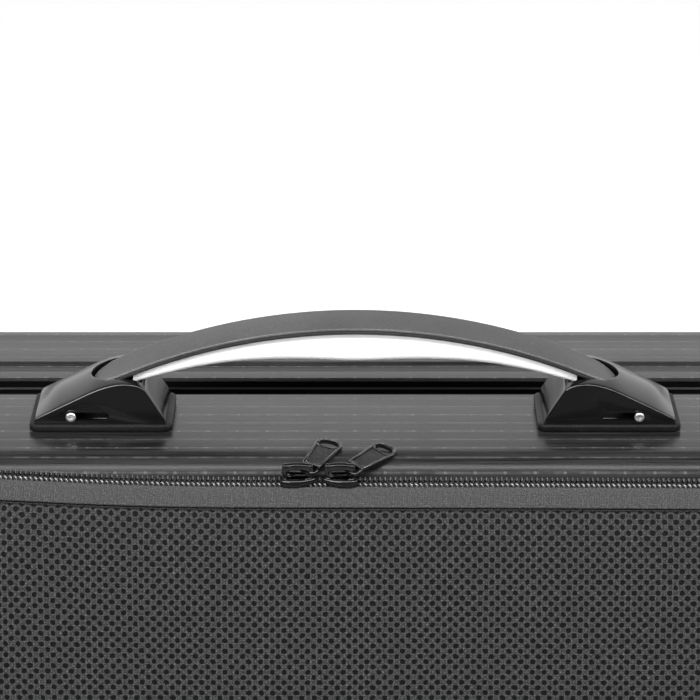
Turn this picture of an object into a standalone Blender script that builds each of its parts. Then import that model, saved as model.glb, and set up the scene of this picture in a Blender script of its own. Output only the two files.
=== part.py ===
"""Oblong violin case with a zipped outer pocket, standing on its hinge side.

X runs along the case, +Y from the outer pocket through the seam to the lid, and +Z up to the handle.
The origin is on the floor, under the middle of the case.
"""
import math

import bmesh
import bpy
from mathutils import Matrix, Vector

MM = 0.001

# The whole case
CASE_LENGTH = 790 * MM
SHELL_HEIGHT = 255 * MM
BACK_DEPTH = 50 * MM
LID_DEPTH = 57 * MM
POCKET_DEPTH = 22 * MM
FOOT_HEIGHT = 6 * MM
GAP = 0.3 * MM
OVERRUN = 2 * MM
WELD = 0.002 * MM
SOFT_ANGLE = math.radians(40)
SHARP_ANGLE = math.radians(35)

# Shells
WALL = 3 * MM
CORNER_RADIUS = 45 * MM
CORNER_STEPS = 6
BACK_EDGE_RADIUS = 7 * MM
LID_EDGE_RADIUS = 20 * MM
EDGE_STEPS = 5
LEAST_CORNER_RADIUS = 24 * MM

# Rolled bead and groove along the lid's edge
BEAD_WIDTH = 7.5 * MM
BEAD_RISE = 1.2 * MM
BEAD_STEPS = 6
GROOVE_WIDTH = 6.5 * MM
GROOVE_DEPTH = 0.7 * MM

# Rims and seal
RIM_INSET = 0.5 * MM
BACK_RIM_WIDTH = 4.2 * MM
LID_RIM_WIDTH = 6.6 * MM
SEAM_GAP = 0.8 * MM
LIP_THICKNESS = 1.5 * MM
LIP_REACH = 8 * MM
SEAL_WIDTH = 2.2 * MM
SEAL_LIP = 2 * MM
SEAL_DEPTH = 3 * MM

# Handle and its brackets
HANDLE_SETBACK = 17 * MM
GRIP_HALF_LENGTH = 72.7 * MM
GRIP_WIDTH = 16.4 * MM
GRIP_THICKNESS = 1.3 * MM
GRIP_CROWN = 0.4 * MM
GRIP_EDGE = 0.4 * MM
GRIP_RADIUS = 163 * MM
GRIP_BODY_STEPS = 8
GRIP_END_STEPS = 6
HANDLE_HEIGHT = 28.7 * MM
BAR_HALF_LENGTH = 61.5 * MM
BAR_WIDTH = 13.4 * MM
BAR_THIN = 1.6 * MM
BAR_THICK = 7.4 * MM
BAR_TAPER_POWER = 1.2
BAR_BELLY = 8 * MM
BAR_EDGE = 0.8 * MM
BAR_STEPS = 12
PIN_DISTANCE = 78.6 * MM
PIN_HEIGHT = 4.45 * MM
PIN_RADIUS = 0.9 * MM
PIN_TRAVEL = 8.7 * MM
PIN_CLEARANCE = 0.15 * MM
PIN_HEAD_RADIUS = 1.5 * MM
PIN_HEAD_THICKNESS = 0.7 * MM
EYE_RADIUS = 1.9 * MM
ARM_WIDTH = 10 * MM
ARM_THICKNESS = 2.6 * MM
ARM_INNER_DISTANCE = 64 * MM
ARM_ROOT_SHARE = 0.9
BRACKET_DISTANCE = 70.5 * MM
GASKET_LENGTH = 38.8 * MM
GASKET_DEPTH = 26 * MM
GASKET_HEIGHT = 2.2 * MM
GASKET_CORNER = 2.5 * MM
GASKET_STEPS = 4
HOUSING_MARGIN = 0.8 * MM
HOUSING_RISE = 11.4 * MM
HOUSING_SOLID_END = 7.4 * MM
HOUSING_WALL = 1.8 * MM
HOUSING_TOP_WALL = 1.6 * MM
HOUSING_SOFT_EDGE = 0.6 * MM
HOUSING_OUTLINE_SHARES = (
    (0.0, 0.0), (0.012, 0.11), (0.24, 0.475), (0.455, 0.816), (0.578, 0.956),
    (0.667, 1.0), (0.764, 0.97), (0.821, 0.886), (0.854, 0.76), (1.0, 0.0))
MOUTH_OUTER_DISTANCE = 73.6 * MM
MOUTH_INNER_DISTANCE = 59 * MM
MOUTH_CORNER = 9 * MM
STUD_RADIUS = 1.5 * MM
STUD_MARGIN = 3.6 * MM
BACKING_WIDTH = 9 * MM
BACKING_THICKNESS = 1.6 * MM
STUD_SPREAD = 15.2 * MM
STUD_REACH = 1.6 * MM
STUD_CLEARANCE = 0.3 * MM

# Liner and what it holds
LINER_INSET = 6.6 * MM
LINER_FOOT_INSET = 8 * MM
LINER_CHAMFER = 4 * MM
LINER_SETBACK = 3 * MM
RECESS_DEPTH = 36 * MM
TAIL_MARGIN = 43 * MM
VIOLIN_BODY_LENGTH = 362 * MM
VIOLIN_HALF_WIDTH = 112 * MM
NECK_HALF_WIDTH = 27 * MM
HEAD_MARGIN = 139 * MM
NECK_BLEND = 6 * MM
RECESS_OUTLINE_SHARES = (
    (0.0, 0.40), (0.015, 0.66), (0.06, 0.88), (0.13, 0.98), (0.22, 1.0), (0.31, 0.985), (0.39, 0.885),
    (0.46, 0.72), (0.52, 0.64), (0.58, 0.68), (0.64, 0.79), (0.72, 0.86), (0.81, 0.87), (0.89, 0.83),
    (0.95, 0.71), (0.99, 0.47), (1.0, 0.28))
BOX_CLEARANCE = 52 * MM
BOX_MARGIN = 16 * MM
BOX_HEIGHT = 50 * MM
BOX_NECK_WALL = 15 * MM
BOX_LEDGE = 3 * MM
FLAP_THICKNESS = 4 * MM
FLAP_CLEARANCE = 0.8 * MM
FLAP_TAB_WIDTH = 16 * MM
FLAP_TAB_REACH = 7 * MM
FLAP_TAB_THICKNESS = 1.2 * MM
PAD_THICKNESS = 10 * MM
PAD_SOFT_EDGE = 3 * MM
TAIL_PAD_START = 24 * MM
TAIL_PAD_SIZE = (56 * MM, 120 * MM)
SHOULDER_PAD_START = 270 * MM
SHOULDER_PAD_SIZE = (60 * MM, 110 * MM)
CRADLE_SHARE = 0.4
CRADLE_LENGTH = 34 * MM
CRADLE_RISE = 30 * MM
CRADLE_NOTCH_RADIUS = 17 * MM
STRAP_WIDTH = 30 * MM
STRAP_REACH = 37 * MM
STRAP_THICKNESS = 2 * MM
LID_LINER_THICKNESS = 6 * MM
LID_LINER_INSET = 8 * MM
LID_LINER_FOOT_INSET = 18.5 * MM
CLIP_MARGIN = 143 * MM
CLIP_SPREAD = 46 * MM
CLIP_STEM_RADIUS = 4 * MM
CLIP_STEM_LENGTH = 12 * MM
CLIP_LENGTH = 34 * MM
CLIP_WIDTH = 10 * MM
CLIP_THICKNESS = 3 * MM
TIP_POCKET_MARGIN = 57 * MM
TIP_POCKET_LENGTH = 52 * MM
TIP_POCKET_HEIGHT = 150 * MM
TIP_POCKET_DEPTH = 18 * MM
TIP_POCKET_WALL = 1.6 * MM

# Feet
FOOT_LENGTH = 46 * MM
FOOT_INNER = 14 * MM
FOOT_MARGIN = 133 * MM
FOOT_WRAP = math.radians(52)
FOOT_WRAP_STEPS = 5
FOOT_LIP = 1.5 * MM
FOOT_SOFT_EDGE = 1.2 * MM

# Hinges
HINGE_MARGIN = 160 * MM
HINGE_LENGTH = 60 * MM
HINGE_KNUCKLES = 5
KNUCKLE_RADIUS = 2.3 * MM
HINGE_PIN_RADIUS = 1.1 * MM
HINGE_RUNNING = 0.08 * MM
LEAF_THICKNESS = 1.2 * MM
LEAF_REACH = 20 * MM
KNUCKLE_GAP = 0.4 * MM

# Latches
LATCH_MARGIN = 160 * MM
LATCH_BASE_SIZE = (30 * MM, 26 * MM, 1.6 * MM)
LATCH_SETBACK = 2.5 * MM
LATCH_SOFT_EDGE = 0.5 * MM
LEVER_SOFT_EDGE = 0.4 * MM
EAR_THICKNESS = 1.8 * MM
EAR_RADIUS = 2.3 * MM
EAR_LENGTH = 7 * MM
LEVER_WIDTH = 20 * MM
LEVER_THICKNESS = 2 * MM
LEVER_TOP = 6.7 * MM
LEVER_UNDERSIDE = 2.6 * MM
LEVER_PIVOT_SETBACK = 22 * MM
LEVER_PIVOT_HEIGHT = 4.5 * MM
LEVER_FRONT_SETBACK = 3 * MM
LEVER_KNUCKLE_RADIUS = 2.2 * MM
LEVER_NOSE = 1.4 * MM
LATCH_PIN_RADIUS = 1 * MM
CHEEK_THICKNESS = 1.8 * MM
CHEEK_CLEARANCE = 0.4 * MM
BAIL_PIVOT_SETBACK = 11 * MM
BAIL_PIVOT_HEIGHT = 4.6 * MM
BAIL_ARM_WIDTH = 1.8 * MM
BAIL_THICKNESS = 2 * MM
BAIL_EYE_RADIUS = 1.9 * MM
BAIL_HOOK_REACH = 6.5 * MM
BAIL_BAR_WIDTH = 2.6 * MM
KEEPER_WIDTH = 26 * MM
KEEPER_START = 0.4 * MM
KEEPER_LENGTH = 12 * MM
KEEPER_FOOT = 3.4 * MM
KEEPER_THICKNESS = 1.8 * MM

# Strap rings
RING_PLACE_HEIGHT = 190 * MM
RING_PLATE_SIZE = (3 * MM, 22 * MM, 34 * MM)
RING_BAR_RADIUS = 1.6 * MM
RING_WIDTH = 26 * MM
RING_DROP = 20 * MM
RING_LUG_RADIUS = 4 * MM
RING_LUG_LENGTH = 12 * MM
RING_SOFT_EDGE = 0.8 * MM
RING_CLEARANCE = 0.5 * MM
RING_ARC_STEPS = 10
RING_SIDES = 8

# Outer pocket and its zip
FABRIC = 1.4 * MM
GUSSET_BACK = (5.2 * MM, 0.1 * MM)
GUSSET_FRONT = (6.7 * MM, 5.9 * MM)
BAND_MIDDLE = (8.0 * MM, 8.4 * MM)
BAND_FRONT = (10.1 * MM, 10.0 * MM)
BAND_INSIDE = ((11.0 * MM, 9.0 * MM), (9.2 * MM, 7.6 * MM))
PANEL_SHARES = (
    (0.0, 0.0), (0.05, 0.2), (0.13, 0.4), (0.26, 0.6), (0.45, 0.8), (0.68, 0.94), (1.0, 1.0))
PANEL_BULGE_WIDTH = 82 * MM
PANEL_HEM = 2.2 * MM
ZIP_MARGIN = 65 * MM
CHAIN_WIDTH = 5 * MM
CHAIN_HEIGHT = 1.5 * MM
CHAIN_LIFT = 0.1 * MM
CHAIN_EDGE = 0.5 * MM
TAPE_WIDTH = 5.2 * MM
TAPE_THICKNESS = 0.7 * MM
TAPE_SINK = 0.2 * MM
ZIP_MEET = -9.8 * MM
SLIDER_LENGTH = 9.6 * MM
SLIDER_SPACING = 11.4 * MM
SLIDER_WALL = 0.9 * MM
SLIDER_SIDE_CLEARANCE = 0.4 * MM
SLIDER_SKIRT = 1 * MM
SLIDER_BOTTOM = 1.2 * MM
SLIDER_EDGE = 0.35 * MM
SLIDER_SHARES = ((-0.5, 0.6), (-0.36, 0.88), (-0.16, 1.0), (0.16, 1.0), (0.36, 0.88), (0.5, 0.6))
BRIDGE_HEIGHT = 4.9 * MM
BRIDGE_BAR_RADIUS = 0.55 * MM
BRIDGE_SPAN = 6.4 * MM
POST_RADIUS = 0.7 * MM
POST_THICKNESS = 1 * MM
TAB_EYE_RADIUS = 1.7 * MM
TAB_EYE_WIDTH = 3 * MM
TAB_PLAY = 0.2 * MM
TAB_LENGTH = 9.6 * MM
TAB_NECK_LENGTH = 3.9 * MM
TAB_NECK_WIDTH = 2.6 * MM
TAB_TURN = 1.9 * MM
TAB_CORNER = 2.2 * MM
TAB_WIDTH = 7.4 * MM
TAB_THICKNESS = 1.1 * MM
TAB_STEP = 0.1 * MM
TAB_HOLE_LENGTH = 4.4 * MM
TAB_HOLE_WIDTH = 2.2 * MM
TAB_HOLE_ROUND_SHARE = 0.48
TAB_HOLE_MARGIN = 1.3 * MM
TAB_PANEL_MARGIN = 1.0 * MM
TAB_PANEL_DEPTH = 0.25 * MM
TAB_LEANS = (math.radians(36), math.radians(64))

ROUND_SIDES = 16
SMALL_SIDES = 12

# Places worked out from the sizes above
CASE_END = CASE_LENGTH / 2
VIOLIN_TAIL = TAIL_MARGIN - CASE_END
NECK_START = VIOLIN_TAIL + VIOLIN_BODY_LENGTH
NECK_END = CASE_END - HEAD_MARGIN
BOX_START = NECK_START + BOX_CLEARANCE
BOX_END = NECK_END - BOX_MARGIN
CRADLE_START = NECK_START + CRADLE_SHARE * (NECK_END - NECK_START)
CLIP_PLACE = CLIP_MARGIN - CASE_END
TIP_POCKET_END = CASE_END - TIP_POCKET_MARGIN
FOOT_PLACE = CASE_END - FOOT_MARGIN
HINGE_PLACE = CASE_END - HINGE_MARGIN
LATCH_PLACE = CASE_END - LATCH_MARGIN
ZIP_HALF_LENGTH = CASE_END - ZIP_MARGIN
SEAM = GAP + BACK_RIM_WIDTH + SEAM_GAP + LID_RIM_WIDTH + GAP
TOTAL_DEPTH = POCKET_DEPTH + BACK_DEPTH + SEAM + LID_DEPTH
Y_POCKET = -TOTAL_DEPTH / 2
Y_FACE = Y_POCKET + POCKET_DEPTH
Y_RIM = Y_FACE + BACK_DEPTH
Y_LID = Y_RIM + SEAM
Y_BACK = Y_LID + LID_DEPTH
Y_HANDLE = Y_RIM - HANDLE_SETBACK
Y_LINER = Y_RIM - LINER_SETBACK
Y_RECESS = Y_LINER - RECESS_DEPTH
Y_SEAM = Y_RIM + GAP + BACK_RIM_WIDTH + SEAM_GAP / 2
Y_LID_FLOOR = Y_BACK - WALL - GAP - LID_LINER_THICKNESS
Z_BOTTOM = FOOT_HEIGHT
Z_TOP = Z_BOTTOM + SHELL_HEIGHT
Z_MIDDLE = Z_BOTTOM + SHELL_HEIGHT / 2
Z_PIN = Z_TOP + PIN_HEIGHT
Z_HINGE = Z_BOTTOM - GAP - KNUCKLE_RADIUS
HOUSING_LENGTH = GASKET_LENGTH - 2 * HOUSING_MARGIN
HOUSING_DEPTH = GASKET_DEPTH - 2 * HOUSING_MARGIN
HOUSING_BASE = GASKET_HEIGHT + GAP
HOUSING_OUTER = BRACKET_DISTANCE + HOUSING_LENGTH / 2
Z_BOX = Z_MIDDLE + NECK_HALF_WIDTH + BOX_NECK_WALL
Z_FLAP_HINGE = Z_BOX + BOX_HEIGHT + BOX_LEDGE - FLAP_CLEARANCE
Y_LEVER = Y_RIM - LEVER_PIVOT_SETBACK
Z_LEVER = Z_TOP + LEVER_PIVOT_HEIGHT
Y_BAIL = Y_RIM - BAIL_PIVOT_SETBACK
Z_BAIL = Z_TOP + BAIL_PIVOT_HEIGHT
CHEEK_OUTSIDE = LEVER_WIDTH / 2 + CHEEK_CLEARANCE
ZIP_TILT = math.atan2(GUSSET_FRONT[0] - GUSSET_BACK[0], GUSSET_FRONT[1] - GUSSET_BACK[1])
Y_ZIP = Y_FACE - (GUSSET_BACK[1] + GUSSET_FRONT[1]) / 2
Z_ZIP = Z_TOP - (GUSSET_BACK[0] + GUSSET_FRONT[0]) / 2
RING_PIVOT = CASE_END + GAP + RING_PLATE_SIZE[0] + RING_BAR_RADIUS + 2 * GAP
SIDES = {"left": -1, "right": 1}

FINISHES = {
    "laminate": ((0.105, 0.105, 0.11), 0.35, 0.0),
    "rim_black": ((0.012, 0.012, 0.013), 0.22, 0.0),
    "seal_rubber": ((0.02, 0.02, 0.02), 0.8, 0.0),
    "foam_velvet": ((0.05, 0.05, 0.055), 0.95, 0.0),
    "bracket_black": ((0.012, 0.012, 0.012), 0.25, 0.0),
    "gasket_rubber": ((0.03, 0.03, 0.03), 0.7, 0.0),
    "soft_touch": ((0.12, 0.12, 0.12), 0.75, 0.0),
    "silver": ((0.85, 0.85, 0.85), 0.3, 1.0),
    "steel": ((0.6, 0.6, 0.6), 0.3, 1.0),
    "mesh_fabric": ((0.06, 0.06, 0.06), 0.9, 0.0),
    "plain_weave": ((0.09, 0.09, 0.09), 0.9, 0.0),
    "zip_black": ((0.015, 0.015, 0.015), 0.35, 0.0),
    "slider_black": ((0.02, 0.02, 0.02), 0.2, 0.6),
}


def clear_scene():
    """Remove what the file already holds."""
    for item in list(bpy.data.objects):
        bpy.data.objects.remove(item, do_unlink=True)


def material(name):
    """The named finish as a material, made once."""
    found = bpy.data.materials.get(name)
    if found:
        return found
    colour, roughness, metallic = FINISHES[name]
    made = bpy.data.materials.new(name)
    made.use_nodes = True
    shader = made.node_tree.nodes["Principled BSDF"]
    shader.inputs["Base Color"].default_value = (*colour, 1.0)
    shader.inputs["Roughness"].default_value = roughness
    shader.inputs["Metallic"].default_value = metallic
    return made


def add(name, mesh, finish, pivot=(0, 0, 0)):
    """Turn a bmesh into an object whose origin is at pivot."""
    bmesh.ops.recalc_face_normals(mesh, faces=mesh.faces)
    bmesh.ops.translate(mesh, verts=mesh.verts, vec=-Vector(pivot))
    data = bpy.data.meshes.new(name)
    mesh.to_mesh(data)
    mesh.free()
    data.materials.append(material(finish))
    item = bpy.data.objects.new(name, data)
    item.location = pivot
    bpy.context.collection.objects.link(item)
    return item


def loft(rings, closed=False):
    """A skin through rings of equal count, capped at both ends or closed on itself."""
    mesh = bmesh.new()
    rows = [[mesh.verts.new(point) for point in ring] for ring in rings]
    following = rows[1:] + rows[:1] if closed else rows[1:]
    for low, high in zip(rows, following):
        count = len(low)
        for index in range(count):
            after = (index + 1) % count
            mesh.faces.new((low[index], low[after], high[after], high[index]))
    if not closed:
        mesh.faces.new(list(reversed(rows[0])))
        mesh.faces.new(rows[-1])
    bmesh.ops.recalc_face_normals(mesh, faces=mesh.faces)
    return mesh


def prism(outline, axis, low, high):
    """An outline in the plane across an axis, carried from low to high along it."""
    place = {
        "X": lambda a, b, along: Vector((along, a, b)),
        "Y": lambda a, b, along: Vector((a, along, b)),
        "Z": lambda a, b, along: Vector((a, b, along)),
    }[axis]
    return loft([[place(a, b, along) for a, b in outline] for along in sorted((low, high))])


def block(low, high):
    """A box between two corners."""
    outline = ((low[0], low[1]), (high[0], low[1]), (high[0], high[1]), (low[0], high[1]))
    return prism(outline, "Z", low[2], high[2])


def arc(centre, radius, start, end, steps):
    """Points along an arc in a plane."""
    turns = [start + (end - start) * step / steps for step in range(steps + 1)]
    return [(centre[0] + radius * math.cos(turn), centre[1] + radius * math.sin(turn)) for turn in turns]


def circle(centre, radius, sides=ROUND_SIDES):
    """Points round a circle in a plane."""
    return arc(centre, radius, 0, 2 * math.pi, sides)[:-1]


def rounded_outline(half_a, half_b, radius, steps=CORNER_STEPS, centre=(0, 0)):
    """Points round a rectangle with round corners."""
    points = []
    for corner, (sign_a, sign_b) in enumerate(((1, 1), (-1, 1), (-1, -1), (1, -1))):
        middle = (centre[0] + sign_a * (half_a - radius), centre[1] + sign_b * (half_b - radius))
        start = corner * math.pi / 2
        points += arc(middle, radius, start, start + math.pi / 2, steps)
    return points


def case_ring(inset, depth):
    """The case's rounded outline, drawn in by an inset, at one depth along Y."""
    radius = max(CORNER_RADIUS - inset, LEAST_CORNER_RADIUS)
    outline = rounded_outline(CASE_END - inset, SHELL_HEIGHT / 2 - inset, radius)
    return [Vector((a, depth, Z_MIDDLE + b)) for a, b in outline]


def bake(item):
    """Apply an object's modifiers and merge the doubled points that a cut can leave."""
    bpy.context.view_layer.update()
    evaluated = item.evaluated_get(bpy.context.evaluated_depsgraph_get())
    result = bpy.data.meshes.new_from_object(evaluated)
    item.modifiers.clear()
    mesh = bmesh.new()
    mesh.from_mesh(result)
    bmesh.ops.remove_doubles(mesh, verts=mesh.verts, dist=WELD)
    bmesh.ops.dissolve_degenerate(mesh, edges=mesh.edges, dist=WELD)
    mesh.to_mesh(result)
    mesh.free()
    item.data = result


def combine(item, mesh, operation="DIFFERENCE"):
    """Cut a bmesh from an object, or join it on with UNION, and keep the result."""
    bmesh.ops.recalc_face_normals(mesh, faces=mesh.faces)
    data = bpy.data.meshes.new("tool")
    mesh.to_mesh(data)
    mesh.free()
    tool = bpy.data.objects.new("tool", data)
    bpy.context.collection.objects.link(tool)
    modifier = item.modifiers.new("combine", "BOOLEAN")
    modifier.operation = operation
    modifier.object = tool
    bake(item)
    bpy.data.objects.remove(tool, do_unlink=True)
    return item


def recentre(item, pivot):
    """Put an object's origin at a pivot and leave its shape where it is."""
    shift = Vector(pivot) - item.location
    item.data.transform(Matrix.Translation(-shift))
    item.location = pivot
    return item


def soften(item, width, segments=2, angle=SOFT_ANGLE):
    """Round an object's sharp edges."""
    modifier = item.modifiers.new("soft_edges", "BEVEL")
    modifier.width = width
    modifier.segments = segments
    modifier.limit_method = "ANGLE"
    modifier.angle_limit = angle
    bake(item)
    return item


def smooth(item):
    """Shade round faces smooth and keep real edges sharp."""
    item.data.shade_smooth()
    item.data.set_sharp_from_angle(angle=SHARP_ANGLE)
    return item


def edge_arc(radius, start):
    """Inset and depth along a quarter round, from a shell's face to its side."""
    turns = [step / EDGE_STEPS * math.pi / 2 for step in range(EDGE_STEPS + 1)]
    return [(start + radius * (1 - math.sin(turn)), start + radius * (1 - math.cos(turn)))
            for turn in turns]


def shell(name, face, rim_depth, radius, side_steps):
    """A moulded half: a face, a round edge and a side wall of one thickness, open at the rim."""
    inward = 1 if rim_depth > face else -1
    outer = [(inset, face + inward * depth) for inset, depth in edge_arc(radius, 0)]
    inner = [(inset, face + inward * depth) for inset, depth in edge_arc(radius - WALL, WALL)]
    profile = outer + side_steps + [(0, rim_depth), (WALL, rim_depth)] + inner[::-1]
    return smooth(add(name, loft([case_ring(inset, depth) for inset, depth in profile]), "laminate"))


def make_shells():
    """The back shell, which carries handle and pocket, and the lid with its rolled edge."""
    back = shell("back_shell", Y_FACE, Y_RIM, BACK_EDGE_RADIUS, [])
    for place in stud_places():
        hole = circle(place, STUD_RADIUS + STUD_CLEARANCE, SMALL_SIDES)
        combine(back, prism(hole, "Z", Z_TOP - WALL - OVERRUN, Z_TOP + OVERRUN))
    smooth(back)

    turns = [math.pi * step / BEAD_STEPS for step in range(BEAD_STEPS)]
    groove = [(GROOVE_DEPTH * math.sin(turn), Y_LID + BEAD_WIDTH + GROOVE_WIDTH * (1 - turn / math.pi))
              for turn in turns]
    bead = [(-BEAD_RISE * math.sin(turn), Y_LID + BEAD_WIDTH * (1 - turn / math.pi)) for turn in turns]
    shell("lid_shell", Y_BACK, Y_LID, LID_EDGE_RADIUS, groove + bead)


def profile_ring(name, finish, section):
    """A profile, given as inset and depth, carried round the case's outline."""
    rings = [case_ring(inset, depth) for inset, depth in section]
    return smooth(add(name, loft(rings, closed=True), finish))


def make_rims():
    """The two profiles of the seam, each with a lip inside its shell, and the seal between them."""
    lip = WALL + GAP
    inner = lip + LIP_THICKNESS + SEAL_LIP
    back_start = Y_RIM + GAP
    back_end = back_start + BACK_RIM_WIDTH
    profile_ring("back_rim", "rim_black", (
        (RIM_INSET, back_start), (lip, back_start), (lip, Y_RIM - LIP_REACH),
        (lip + LIP_THICKNESS, Y_RIM - LIP_REACH), (inner, back_start),
        (inner, back_end), (RIM_INSET, back_end)))

    lid_start = back_end + SEAM_GAP
    lid_end = lid_start + LID_RIM_WIDTH
    seat = lid_start + SEAL_DEPTH
    profile_ring("lid_rim", "rim_black", (
        (RIM_INSET, lid_end), (lip, lid_end), (lip, Y_LID + LIP_REACH),
        (lip + LIP_THICKNESS, Y_LID + LIP_REACH), (inner, lid_end),
        (inner, seat), (lip, seat), (lip, lid_start), (RIM_INSET, lid_start)))

    seal_inset = lip + GAP
    profile_ring("rim_seal", "seal_rubber", (
        (seal_inset, back_end + GAP), (seal_inset + SEAL_WIDTH, back_end + GAP),
        (seal_inset + SEAL_WIDTH, seat - GAP), (seal_inset, seat - GAP)))


def grip_top(distance):
    """Height of the grip's top over the shell, at a distance from the middle of the handle."""
    return HANDLE_HEIGHT - GRIP_RADIUS + math.sqrt(GRIP_RADIUS ** 2 - distance ** 2)


def grip_half_width(distance):
    """Half the grip's width, drawn in to a round end."""
    half = GRIP_WIDTH / 2
    past = distance - (GRIP_HALF_LENGTH - half)
    return half if past <= 0 else math.sqrt(max(half ** 2 - past ** 2, GRIP_EDGE ** 2))


def grip_stations():
    """Distances from the split in the middle to the round end, where they close up."""
    straight = GRIP_HALF_LENGTH - GRIP_WIDTH / 2
    body = [GAP / 2 + (straight - GAP / 2) * step / GRIP_BODY_STEPS for step in range(GRIP_BODY_STEPS)]
    turns = [step / GRIP_END_STEPS * math.pi / 2 for step in range(GRIP_END_STEPS)]
    return body + [straight + GRIP_WIDTH / 2 * math.sin(turn) for turn in turns] + [GRIP_HALF_LENGTH]


def arm_outline(side):
    """The arm's side view: from the eye up through the bracket's mouth to the strap's underside."""
    outer = MOUTH_OUTER_DISTANCE - ARM_THICKNESS
    inner = ARM_INNER_DISTANCE
    under_strap = GRIP_THICKNESS / 2
    rise_outer = grip_top(outer) - under_strap
    rise_inner = grip_top(inner) - under_strap
    points = (
        (PIN_DISTANCE, PIN_HEIGHT + EYE_RADIUS * ARM_ROOT_SHARE),
        (PIN_DISTANCE, PIN_HEIGHT - EYE_RADIUS * ARM_ROOT_SHARE),
        (PIN_DISTANCE - ARM_THICKNESS * 2, PIN_HEIGHT - EYE_RADIUS * ARM_ROOT_SHARE / 2),
        (inner + ARM_THICKNESS, (PIN_HEIGHT + rise_inner) / 2),
        (inner, rise_inner),
        (outer, rise_outer),
        (outer + ARM_THICKNESS / 2, (PIN_HEIGHT + EYE_RADIUS + rise_outer) / 2))
    return [(side * distance, Z_TOP + height) for distance, height in points]


def grip(name, side):
    """Half of the soft-touch strap, with the arm and eye that reach down to the slide pin."""
    rings = []
    for distance in grip_stations():
        half = grip_half_width(distance)
        edge = min(GRIP_EDGE, half / 2)
        top = Z_TOP + grip_top(distance)
        low = top - GRIP_THICKNESS
        crown = top + GRIP_CROWN * half * 2 / GRIP_WIDTH
        section = ((-half, top - edge), (-half + edge, top), (0, crown), (half - edge, top),
                   (half, top - edge), (half, low), (-half, low))
        rings.append([Vector((side * distance, Y_HANDLE + y, z)) for y, z in section])
    item = add(name, loft(rings), "soft_touch")
    near = Y_HANDLE - ARM_WIDTH / 2
    far = Y_HANDLE + ARM_WIDTH / 2
    pivot = (side * PIN_DISTANCE, Z_PIN)
    combine(item, prism(arm_outline(side), "Y", near, far), "UNION")
    combine(item, prism(circle(pivot, EYE_RADIUS), "Y", near, far), "UNION")
    combine(item, prism(circle(pivot, PIN_RADIUS + PIN_CLEARANCE), "Y", near - OVERRUN, far + OVERRUN))
    return smooth(recentre(item, (pivot[0], Y_HANDLE, pivot[1])))


def bar_thickness(distance):
    """The silver bar swells from its thin ends to its middle, with a small belly."""
    rounded = math.hypot(distance, BAR_BELLY) - BAR_BELLY
    share = max(0, 1 - rounded / (math.hypot(BAR_HALF_LENGTH, BAR_BELLY) - BAR_BELLY))
    return BAR_THIN + (BAR_THICK - BAR_THIN) * share ** BAR_TAPER_POWER


def bar(name, side):
    """Half of the silver bar under the strap."""
    rings = []
    half = BAR_WIDTH / 2
    for step in range(BAR_STEPS + 1):
        distance = GAP / 2 + (BAR_HALF_LENGTH - GAP / 2) * step / BAR_STEPS
        thick = bar_thickness(distance)
        edge = min(BAR_EDGE, thick / 3)
        top = Z_TOP + grip_top(distance) - GRIP_THICKNESS - GAP
        low = top - thick
        section = ((-half, top), (half, top), (half, low + edge), (half - edge, low),
                   (-half + edge, low), (-half, low + edge))
        rings.append([Vector((side * distance, Y_HANDLE + y, z)) for y, z in section])
    item = add(name, loft(rings), "silver")
    return smooth(recentre(item, (side * PIN_DISTANCE, Y_HANDLE, Z_PIN)))


def slide_pin(name, side):
    """The pin through the strap's eye and both slots, with a screw head at each end."""
    reach = HOUSING_DEPTH / 2 + GAP
    centre = (side * PIN_DISTANCE, Z_PIN)
    shank = prism(circle(centre, PIN_RADIUS, SMALL_SIDES), "Y",
                  Y_HANDLE - reach - PIN_HEAD_THICKNESS / 2, Y_HANDLE + reach + PIN_HEAD_THICKNESS / 2)
    item = add(name, shank, "steel")
    for sign in (-1, 1):
        near = Y_HANDLE + sign * reach
        combine(item, prism(circle(centre, PIN_HEAD_RADIUS), "Y", near, near + sign * PIN_HEAD_THICKNESS),
                "UNION")
    return smooth(recentre(item, (centre[0], Y_HANDLE, centre[1])))


def housing_rise(along):
    """Height of the housing's top over its base, at a share of its length from the outer end."""
    for (start, low), (end, high) in zip(HOUSING_OUTLINE_SHARES, HOUSING_OUTLINE_SHARES[1:]):
        if along <= end:
            return HOUSING_RISE * (low + (high - low) * (along - start) / (end - start))
    return 0


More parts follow.
